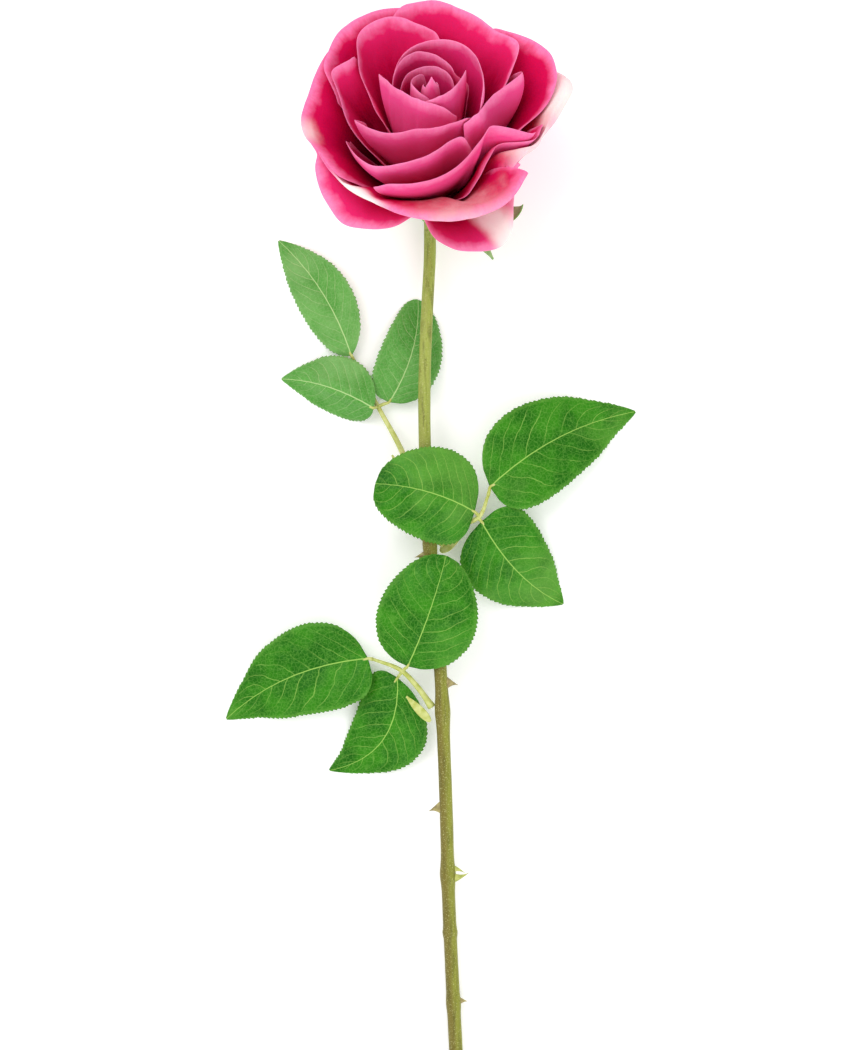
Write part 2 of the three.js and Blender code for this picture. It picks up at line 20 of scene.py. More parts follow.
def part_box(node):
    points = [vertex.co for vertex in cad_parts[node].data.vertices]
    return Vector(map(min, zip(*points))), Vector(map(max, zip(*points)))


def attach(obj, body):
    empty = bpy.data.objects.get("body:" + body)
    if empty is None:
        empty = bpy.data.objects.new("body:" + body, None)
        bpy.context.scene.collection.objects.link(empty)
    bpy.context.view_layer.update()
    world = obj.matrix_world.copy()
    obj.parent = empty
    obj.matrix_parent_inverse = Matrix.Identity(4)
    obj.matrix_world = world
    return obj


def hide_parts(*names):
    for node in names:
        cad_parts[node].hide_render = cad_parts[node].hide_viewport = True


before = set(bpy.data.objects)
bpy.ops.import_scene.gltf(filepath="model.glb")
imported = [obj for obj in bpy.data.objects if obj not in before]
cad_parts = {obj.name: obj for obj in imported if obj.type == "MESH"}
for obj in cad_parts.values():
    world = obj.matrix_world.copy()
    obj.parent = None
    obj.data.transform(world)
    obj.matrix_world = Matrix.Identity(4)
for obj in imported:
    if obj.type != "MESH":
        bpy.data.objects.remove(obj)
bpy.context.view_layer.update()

LOG = logging.getLogger("rose")
MM = 0.001
BODY = "root"
UP = np.array([0.0, 0.0, 1.0])
NARROWEST = 0.9  # the nearest a petal comes to the bloom's axis
SKIN_SOFTNESS = 0.3  # how softly a petal bends where it meets the table

Triple = tuple[float, float, float]
Places = np.ndarray
Piece = bpy.types.Object
Material = bpy.types.Material
Socket = bpy.types.NodeSocket


class Slot(Enum):
    """The record's material slots."""

    PETAL_HEART = "petal_heart"
    PETAL_MIDDLE = "petal_middle"
    PETAL_OUTER = "petal_outer"
    PETAL_BACK = "petal_back"
    SEPAL = "sepal"
    STEM = "stem"
    THORN = "thorn"
    LEAF = "leaf"
    STALK = "leaf_stalk"


# ---- Small sums ----


def linear(color: str) -> tuple[float, float, float, float]:
    """A web colour as the linear colour that a shader socket takes.

    Args:
        color: Six hex digits after a hash.

    Returns:
        Linear red, green, blue and alpha.
    """
    shares = [int(color[k : k + 2], 16) / 255 for k in (1, 3, 5)]
    curved = [s / 12.92 if s <= 0.04045 else ((s + 0.055) / 1.055) ** 2.4 for s in shares]
    return curved[0], curved[1], curved[2], 1.0


def smoothstep(values: np.ndarray, low: float, high: float) -> np.ndarray:
    """Goes from 0 at low to 1 at high with level ends."""
    share = np.clip((values - low) / (high - low), 0.0, 1.0)
    return share * share * (3 - 2 * share)


def through(values: Triple, u: np.ndarray) -> np.ndarray:
    """A value that runs through three given ones as u goes from -1 through 0 to 1."""
    low, middle, high = values
    return middle + (high - low) / 2 * u + ((high + low) / 2 - middle) * u * u


def unit(vectors: np.ndarray) -> np.ndarray:
    """The same vectors at length one."""
    return vectors / np.maximum(np.linalg.norm(vectors, axis=-1, keepdims=True), 1e-9)


def waves(places: np.ndarray, size: float, seed: float) -> np.ndarray:
    """Smooth random heights between about -1 and 1.

    Args:
        places: Points with two or three numbers each, in any shape of array.
        size: How far apart the waves are, in the points' own measure.
        seed: Which waves.

    Returns:
        One height for each point.
    """
    flat = places.reshape(-1, places.shape[-1]) / size
    if flat.shape[1] == 2:
        flat = np.column_stack([flat, np.zeros(len(flat))])
    heights = [noise.noise(Vector((x + seed, y - seed, z + 2 * seed))) for x, y, z in flat]
    return np.array(heights).reshape(places.shape[:-1])


def run_along(points: Places) -> np.ndarray:
    """How far along a line of points each one is."""
    return np.concatenate([[0], np.cumsum(np.linalg.norm(np.diff(points, axis=0), axis=1))])


def blends(t: np.ndarray | float) -> tuple[np.ndarray | float, ...]:
    """The shares of a smooth line's start, start pull, end and end pull at a share of the way along."""
    return 2 * t**3 - 3 * t**2 + 1, t**3 - 2 * t**2 + t, 3 * t**2 - 2 * t**3, t**3 - t**2


def smooth_path(points: Sequence[Triple], count: int) -> Places:
    """Even steps along a smooth curve through some points.

    Args:
        points: The places that the curve passes.
        count: How many places to return.

    Returns:
        The places, evenly spaced along the curve.
    """
    knots = [np.array(p, float) for p in points]
    knots = [2 * knots[0] - knots[1], *knots, 2 * knots[-1] - knots[-2]]
    fine = []
    for p0, p1, p2, p3 in zip(knots, knots[1:], knots[2:], knots[3:]):
        d0, d1, d2 = (max(np.linalg.norm(b - a), 1e-6) ** 0.5 for a, b in ((p0, p1), (p1, p2), (p2, p3)))
        m1 = ((p1 - p0) / d0 - (p2 - p0) / (d0 + d1) + (p2 - p1) / d1) * d1
        m2 = ((p2 - p1) / d1 - (p3 - p1) / (d1 + d2) + (p3 - p2) / d2) * d1
        for t in np.linspace(0, 1, 24, endpoint=False):
            fine.append(sum(share * part for share, part in zip(blends(t), (p1, m1, p2, m2))))
    path = np.array([*fine, knots[-2]])
    run = run_along(path)
    wanted = np.linspace(0, run[-1], count)
    return np.column_stack([np.interp(wanted, run, path[:, k]) for k in range(3)])


def on_table(places: Places, lowest: float, softness: float) -> Places:
    """Lifts what would be below the table so that it lies on it.

    Args:
        places: The places to lift.
        lowest: How low they may lie.
        softness: How softly they bend where they meet that height.

    Returns:
        The lifted places.
    """
    lifted = places.copy()
    height = places[..., 2] - lowest
    lifted[..., 2] = lowest + (height + np.sqrt(height * height + softness * softness)) / 2
    return lifted


# ---- The drawing frame ----


@dataclass(frozen=True)
class BloomFrame:
    """The cylinder frame that the bloom is drawn in."""

    base: Triple = (0.9, 122.0, 21.5)
    tilt: float = 47.0
    radius: float = 50.0
    height: float = 61.0

    def place(self, turn: np.ndarray, radius: np.ndarray, rise: np.ndarray) -> Places:
        """Turns places in the bloom's own frame into places in the drawing frame.

        Args:
            turn: Degrees round the bloom's axis.
            radius: Distances from the axis.
            rise: Heights above the bloom's base.

        Returns:
            The places, in the shape that the three make together.
        """
        lean = math.radians(self.tilt)
        axis = np.array([0.0, math.cos(lean), math.sin(lean)])
        front = np.array([0.0, -math.sin(lean), math.cos(lean)])
        side = np.array([1.0, 0.0, 0.0])
        angle = np.radians(np.asarray(turn, float))
        forward = np.asarray(np.cos(angle) * radius)[..., None] * front
        sideways = np.asarray(np.sin(angle) * radius)[..., None] * side
        return np.array(self.base) + np.asarray(rise, float)[..., None] * axis + forward + sideways


@dataclass(frozen=True)
class HipSizes:
    """The receptacle under the petals, with the hip below it."""

    radius: float = 7.5
    dome: float = 6.0
    length: float = 10.0
    neck: float = 3.1
    gap: float = 0.3

    def outline(self, steps: int) -> list[tuple[float, float]]:
        """The hip's outline from its foot to its top, as radius and rise.

        Args:
            steps: How many steps the dome takes.

        Returns:
            The outline's corners.
        """
        lower = [(0.0, -self.length), (self.neck, -self.length), (self.neck + 0.6, 1.5 - self.length)]
        middle = [(self.radius - 1, -self.length * 0.45), (self.radius, -1.2)]
        angles = [math.pi / 2 * k / steps for k in range(steps)]
        dome = [(self.radius * math.cos(a), self.dome * math.sin(a)) for a in angles]
        return [*lower, *middle, *dome, (0.0, self.dome)]


FRAME = BloomFrame()
HIP = HipSizes()


def drawing_shift() -> np.ndarray:
    """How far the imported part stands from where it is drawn, in millimetres."""
    radius, rise = np.array(HIP.outline(5)).T
    turns = np.arange(0, 360, 18)
    drawn = FRAME.place(turns[:, None], radius[None, :], rise[None, :])
    lowest = np.array(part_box("receptacle")[0]) / MM
    return lowest - drawn.reshape(-1, 3).min(axis=0)


SHIFT = drawing_shift()


# ---- Modelling ----


class Bench:
    """The modelling moves that every piece shares."""

    @staticmethod
    def clear() -> None:
        """Leaves nothing selected."""
        bpy.ops.object.select_all(action="DESELECT")

    @staticmethod
    def hold(piece: Piece) -> None:
        """Selects one piece alone and makes it the active one."""
        Bench.clear()
        piece.select_set(True)
        bpy.context.view_layer.objects.active = piece

    @staticmethod
    def sheet(name: str, places: Places, finishes: Sequence[Material], **values: np.ndarray) -> Piece:
        """A grid bent so that its points stand at the given places.

        Args:
            name: The piece's name.
            places: Rows and columns of places in the drawing frame.
            finishes: Its materials, one for each face index that it uses.
            **values: Named values for its points, which its finish reads.

        Returns:
            The piece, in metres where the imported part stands.
        """
        rows, columns = places.shape[:2]
        Bench.clear()
        bpy.ops.mesh.primitive_grid_add(x_subdivisions=columns - 1, y_subdivisions=rows - 1, size=2)
        piece = bpy.context.object
        piece.name = piece.data.name = name
        flat = np.empty(len(piece.data.vertices) * 3)
        piece.data.vertices.foreach_get("co", flat)
        x, y, _ = flat.reshape(-1, 3).T
        column = np.rint((x + 1) / 2 * (columns - 1)).astype(int)
        row = np.rint((y + 1) / 2 * (rows - 1)).astype(int)
        piece.data.vertices.foreach_set("co", ((places[row, column] + SHIFT) * MM).ravel())
        piece.data.update()
        for key, value in values.items():
            spread = np.broadcast_to(value, (rows, columns))[row, column].astype(np.float32)
            piece.data.attributes.new(key, "FLOAT", "POINT").data.foreach_set("value", spread)
        for finish in finishes:
            piece.data.materials.append(finish)
        return piece

    @staticmethod
    def modify(piece: Piece, kind: str, **settings: object) -> None:
        """Adds one modifier and applies it.

        Args:
            piece: The piece to change.
            kind: Blender's name for the modifier.
            **settings: The modifier's settings.
        """
        Bench.hold(piece)
        modifier = piece.modifiers.new(kind.title(), kind)
        for key, value in settings.items():
            setattr(modifier, key, value)
        bpy.ops.object.modifier_apply(modifier=modifier.name)

    @staticmethod
    def subdivide(piece: Piece, levels: int) -> None:
        """Rounds a piece with a subdivision surface."""
        Bench.modify(piece, "SUBSURF", levels=levels, render_levels=levels)

    @staticmethod
    def thicken(piece: Piece, thickness: float, under: int = 1) -> None:
        """Gives a sheet its thickness, with its under face in the finish that stands so far down its list."""
        Bench.modify(piece, "SOLIDIFY", thickness=thickness * MM, offset=0.0, material_offset=under)

    @staticmethod
    def close(piece: Piece) -> None:
        """Joins a rolled sheet along its seam, fills its ends and turns its faces outwards."""
        Bench.hold(piece)
        bpy.ops.object.mode_set(mode="EDIT")
        bpy.ops.mesh.select_all(action="SELECT")
        bpy.ops.mesh.remove_doubles(threshold=1e-6)
        bpy.ops.mesh.fill_holes(sides=0)
        bpy.ops.mesh.select_all(action="SELECT")
        bpy.ops.mesh.normals_make_consistent(inside=False)
        bpy.ops.object.mode_set(mode="OBJECT")

    @staticmethod
    def finish(piece: Piece, slot: Slot, node: str = "") -> None:
        """Smooths a piece and hands it over to the frame.

        Args:
            piece: The finished shape.
            slot: Not used.
            node: The CAD node that it stands for, if it stands for one.
        """
        Bench.hold(piece)
        bpy.ops.object.shade_smooth()
        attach(piece, BODY)
        if node:
            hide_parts(node)
        LOG.info("%s: %d faces", piece.name, len(piece.data.polygons))

    @staticmethod
    def rings(centres: Places, ups: Places, sides: Places, sizes: np.ndarray, count: int) -> Places:
        """Oval rings round a path, for a sheet that is rolled into a tube.

        Args:
            centres: The middle of each ring.
            ups: One axis of each ring.
            sides: Its other axis.
            sizes: The half sizes of each ring along those axes.
            count: Points in a ring.

        Returns:
            Rows of places, the first of each row the same as the last.
        """
        angle = np.linspace(0, 2 * math.pi, count + 1)
        up = ups[:, None] * np.cos(angle)[None, :, None] * sizes[:, 0][:, None, None]
        side = sides[:, None] * np.sin(angle)[None, :, None] * sizes[:, 1][:, None, None]
        return centres[:, None] + up + side

    @staticmethod
    def tube(path: Places, radii: np.ndarray, count: int) -> Places:
        """Round rings along a path that never stands straight up.

        Args:
            path: The tube's middle.
            radii: Its radius at each place of the path.
            count: Points in a ring.

        Returns:
            Rows of places, as for rings.
        """
        way = unit(np.gradient(path, axis=0))
        side = unit(np.cross(UP, way))
        return Bench.rings(path, np.cross(way, side), side, np.column_stack([radii, radii]), count)


# ---- Finishes ----


class Grain(Enum):
    """Which coordinates a pattern runs in."""

    OBJECT = "Object"
    SURFACE = "UV"


class NodeBoard:
    """One material's nodes, with its shader at the end."""

    def __init__(self, name: str, roughness: float, **sockets: object) -> None:
        """Starts a material.

        Args:
            name: The finish's name.
            roughness: The shader's roughness.
            **sockets: What the shader's other sockets are set to, with _ for a space.
        """
        self.material = bpy.data.materials.new(name)
        self.material.use_nodes = True
        self.nodes = self.material.node_tree.nodes
        self.shader = self.nodes["Principled BSDF"]
        for key, value in {"Roughness": roughness, **sockets}.items():
            self.shader.inputs[key.replace("_", " ")].default_value = value
        self.space = self.nodes.new("ShaderNodeTexCoord")

    def join(self, source: object, socket: Socket) -> None:
        """Feeds a socket.

        Args:
            source: Another socket, a number, or six hex digits after a hash for a colour.
            socket: The socket to feed.
        """
        if isinstance(source, bpy.types.NodeSocket):
            self.material.node_tree.links.new(source, socket)
        else:
            socket.default_value = linear(source) if isinstance(source, str) else source

    def add(self, kind: str, feeds: dict[int | str, object], **settings: object) -> bpy.types.Node:
        """Adds a node.

        Args:
            kind: Blender's name for it, without its prefix.
            feeds: What its sockets are fed, each with its place or name.
            **settings: The node's own settings.

        Returns:
            The node.
        """
        node = self.nodes.new(f"ShaderNode{kind}")
        for key, value in settings.items():
            setattr(node, key, value)
        for key, source in feeds.items():
            self.join(source, node.inputs[key])
        return node

    def value(self, name: str) -> Socket:
        """A named value that the piece's points carry."""
        return self.add("Attribute", {}, attribute_name=name).outputs["Fac"]

    def math(self, operation: str, first: object, second: object = 0.0) -> Socket:
        """One sum of two values."""
        return self.add("Math", {0: first, 1: second}, operation=operation).outputs[0]

    def times(self, first: object, second: object) -> Socket:
        """Two values multiplied."""
        return self.math("MULTIPLY", first, second)

    def plus(self, first: object, second: object) -> Socket:
        """Two values added."""
        return self.math("ADD", first, second)

    def minus(self, first: object, second: object) -> Socket:
        """One value less another."""
        return self.math("SUBTRACT", first, second)

    def range(self, source: object, low: float, high: float, out: tuple[float, float] = (0.0, 1.0)) -> Socket:
        """A value eased from one range to another, kept inside it."""
        feeds = dict(enumerate((source, low, high, *out)))
        return self.add("MapRange", feeds, interpolation_type="SMOOTHSTEP").outputs[0]

    def mix(self, share: object, first: object, second: object, blend: str = "MIX") -> Socket:
        """Two colours mixed."""
        return self.add("Mix", {0: share, 6: first, 7: second}, data_type="RGBA", blend_type=blend).outputs[2]

    def layer(self, base: Socket, share: object, most: float, color: str, blend: str = "MIX") -> Socket:
        """A colour laid over another where a share is high, at most so strong."""
        return self.mix(self.times(share, most), base, color, blend)

    def ramp(self, source: object, stops: Sequence[tuple[float, str]]) -> Socket:
        """A colour that follows a value through some stops.

        Args:
            source: The value.
            stops: The value and colour of each stop.

        Returns:
            The colour.
        """
        node = self.add("ValToRGB", {0: source})
        elements = node.color_ramp.elements
        while len(elements) < len(stops):
            elements.new(0.5)
        for element, (at, color) in zip(elements, stops):
            element.position = at
            element.color = linear(color)
        return node.outputs[0]

    def noise(
        self, scale: float, detail: float, stretch: Triple = (1.0, 1.0, 1.0), grain: Grain = Grain.OBJECT
    ) -> Socket:
        """Cloudy noise between 0 and 1.

        Args:
            scale: Waves in a metre, or across the surface.
            detail: How many finer layers it has.
            stretch: How much finer it is along each axis.
            grain: The coordinates that it runs in.

        Returns:
            The noise's value.
        """
        mapping = self.add("Mapping", {"Vector": self.space.outputs[grain.value], "Scale": stretch})
        feeds = {"Vector": mapping.outputs[0], "Scale": scale, "Detail": detail}
        return self.add("TexNoise", feeds).outputs[0]

    def patches(self, scale: float, detail: float, low: float, high: float, *pattern: object) -> Socket:
        """Noise that is 0 up to low and 1 from high.

        Args:
            scale: Waves in a metre, or across the surface.
            detail: How many finer layers it has.
            low: The noise where a patch begins.
            high: The noise where it is whole.
            *pattern: The noise's stretch and grain.

        Returns:
            How far each place is in a patch.
        """
        return self.range(self.noise(scale, detail, *pattern), low, high)

    def cells(self, scale: float) -> Socket:
        """The distance to the nearest edge of a net of cells."""
        feeds = {"Vector": self.space.outputs["Object"], "Scale": scale}
        return self.add("TexVoronoi", feeds, feature="DISTANCE_TO_EDGE").outputs["Distance"]

    def bump(self, height: object, depth: float, strength: float) -> None:
        """Raises the surface.

        Args:
            height: How high each place is, from 0 to 1.
            depth: How much that is, in millimetres.
            strength: How strongly it shows.
        """
        node = self.add("Bump", {"Strength": strength, "Distance": depth * MM, "Height": height})
        if self.shader.inputs["Normal"].is_linked:
            self.join(self.shader.inputs["Normal"].links[0].from_socket, node.inputs["Normal"])
        self.join(node.outputs[0], self.shader.inputs["Normal"])

    def color(self, source: object) -> Material:
        """Sets the base colour and returns the material."""
        self.join(source, self.shader.inputs["Base Color"])
        return self.material


@dataclass(frozen=True)
class PetalFinish:
    """Velvety pink petal: pale at its rim, partly a painted edge highlight, crimson low down, partly painted
    shade of the bloom's recesses over its own deeper colour, cream where the dye didn't take.
    """

    name: str
    rim: str
    face: str
    low: str
    foot: str
    cream: str = "#f8e6e2"
    roughness: float = 0.62

    def make(self) -> Material:
        """Builds the material."""
        skin = {"Specular_Tint": (1.0, 0.35, 0.55, 1.0), "Subsurface_Radius": (1.0, 0.25, 0.35)}
        skin |= {"Specular_IOR_Level": 0.05, "Subsurface_Weight": 0.12, "Subsurface_Scale": 1.5 * MM}
        board = NodeBoard(self.name, self.roughness, **skin)
        drift = board.times(board.minus(board.noise(160, 4.0), 0.5), 0.22)
        depth = board.plus(board.value("depth"), drift)
        # From the rim down: the pale rim is partly a painted edge highlight, and the darkening towards the
        # foot is partly painted shade of the bloom's depths.
        stops = ((0.0, self.rim), (0.025, self.rim), (0.16, self.face), (0.55, self.low), (0.95, self.foot))
        mottle = board.patches(1500, 3.0, 0.35, 0.68)
        base = board.layer(board.ramp(depth, stops), mottle, 0.34, self.rim, "SOFT_LIGHT")
        streak = board.patches(6, 4.0, 0.42, 0.7, (9.0, 1.0, 1.0), Grain.SURFACE)
        base = board.layer(base, streak, 0.2, self.face)
        ragged = board.plus(board.value("cream"), board.times(drift, 1.6))
        base = board.mix(board.range(ragged, 0.15, 0.85), base, self.cream)
        board.bump(board.noise(2600, 2.0), 0.12, 0.5)
        board.bump(board.noise(420, 3.0), 0.3, 0.35)
        return board.color(base)


@dataclass(frozen=True)
class Veins:
    """A leaflet's side veins, in its shape and in its finish.

    Lean and curve are how far a vein runs towards the tip on its way to the margin, as shares of the
    leaflet's length, and apart is how far those of one half stand between those of the other.
    """

    count: float = 9.0
    lean: float = 0.2
    curve: float = 0.09
    apart: float = 0.45


VEINS = Veins()


@dataclass(frozen=True)
class LeafFinish:
    """Satin green leaf with a pale midrib, looping side veins and a fine net between them, and broad lighter
    patches that are painted gloss highlights.
    """

    name: str
    face: str = "#327f10"
    dark: str = "#155c02"
    light: str = "#6aa640"
    vein: str = "#a4cf62"
    roughness: float = 0.38

    def make(self) -> Material:
        """Builds the material."""
        board = NodeBoard(self.name, self.roughness, Specular_IOR_Level=0.12)
        across = board.value("across")
        out = board.math("ABSOLUTE", across)
        curve = board.times(board.math("POWER", out, 3.0), VEINS.curve)
        lean = board.plus(board.times(out, VEINS.lean), curve)
        wander = board.times(board.minus(board.noise(75, 3.0), 0.5), 0.13)
        phase = board.plus(board.minus(board.value("along"), lean), wander)
        shifted = board.times(board.math("GREATER_THAN", across, 0.0), VEINS.apart)
        phase = board.plus(board.times(phase, VEINS.count), shifted)
        off = board.math("ABSOLUTE", board.minus(board.math("FRACT", phase), 0.5))
        side = board.range(off, 0.008, 0.05, (1.0, 0.0))
        side = board.times(side, board.range(out, 0.72, 0.95, (0.8, 0.1)))
        side = board.times(side, board.range(board.noise(55, 2.0), 0.32, 0.6, (0.25, 1.0)))
        rib = board.range(board.value("rib"), 0.12, 0.5, (1.0, 0.0))
        net = board.range(board.cells(620), 0.02, 0.1, (1.0, 0.0))
        base = board.mix(board.patches(90, 4.0, 0.3, 0.7), self.dark, self.face)
        layers = (
            (board.patches(1900, 3.0, 0.5, 0.72), 0.4, self.light),
            (board.range(out, 0.9, 1.0), 0.45, self.light),
            # Broad lighter patches: painted gloss highlights.
            (board.patches(32, 2.0, 0.52, 0.72), 0.5, self.light),
            (net, 0.28, self.light),
            (side, 0.6, self.vein),
            (rib, 0.85, self.vein),
        )
        for share, most, color in layers:
            base = board.layer(base, share, most, color)
        board.bump(board.math("MAXIMUM", side, board.times(net, 0.4)), -0.15, 0.8)
        board.bump(board.noise(1500, 3.0), 0.1, 0.5)
        return board.color(base)


@dataclass(frozen=True)
class BarkFinish:
    """Stem skin: olive green, streaked and speckled, browner on one side and fresh near the bloom."""

    name: str
    green: str = "#85892f"
    brown: str = "#746a2b"
    light: str = "#c3c484"
    dark: str = "#4a4712"
    fresh: str = "#a3b455"
    roughness: float = 0.5

    def make(self) -> Material:
        """Builds the material."""
        board = NodeBoard(self.name, self.roughness, Specular_IOR_Level=0.25)
        side = board.times(board.range(board.value("right"), -0.8, 0.8), 0.7)
        blend = board.plus(side, board.times(board.noise(140, 4.0, (1.0, 0.35, 1.0)), 0.45))
        base = board.mix(board.range(blend, 0.3, 0.9), self.brown, self.green)
        layers = (
            (board.value("upper"), 0.75, self.fresh),
            (board.patches(900, 3.0, 0.45, 0.75, (1.0, 0.08, 1.0)), 0.55, self.dark),
            (board.patches(2300, 2.0, 0.56, 0.72), 0.7, self.light),
            (board.patches(1300, 2.0, 0.62, 0.74), 0.5, self.dark),
        )
        for share, most, color in layers:
            base = board.layer(base, share, most, color)
        board.bump(board.noise(1500, 3.0, (1.0, 0.3, 1.0)), 0.15, 0.6)
        return board.color(base)


@dataclass(frozen=True)
class FleshFinish:
    """Plain plant flesh with two tones: stalks, buds, thorns, sepals and the cut end."""

    name: str
    base: str
    second: str
    size: float = 260.0
    roughness: float = 0.5

    def make(self) -> Material:
        """Builds the material."""
        board = NodeBoard(self.name, self.roughness)
        base = board.mix(board.patches(self.size, 4.0, 0.3, 0.7), self.base, self.second)
        base = board.layer(base, board.patches(2400, 2.0, 0.5, 0.75), 0.35, self.second)
        board.bump(board.noise(1800, 3.0), 0.1, 0.5)
        return board.color(base)


# ---- The bloom ----


@dataclass(frozen=True)
class Petal:
    """One petal as it is drawn, before it settles against the petals inside it.

    The rim is a list of places, each the turn, and the reach and rise as shares of the bloom's radius and
    height. A crest, drawn the same way, is where a petal folds over before its rim. The curl is the way the
    rim points: 90 along the axis, 0 straight out and negative where it rolls back. The start is the way it
    leaves the receptacle, if not along the dome, and the corner how much lower its two ends stand.
    """

    number: int
    turn: float
    span: float
    rim: tuple[Triple, ...]
    curl: float
    crest: tuple[Triple, ...] = ()
    start: float | None = None
    corner: float = 0.22


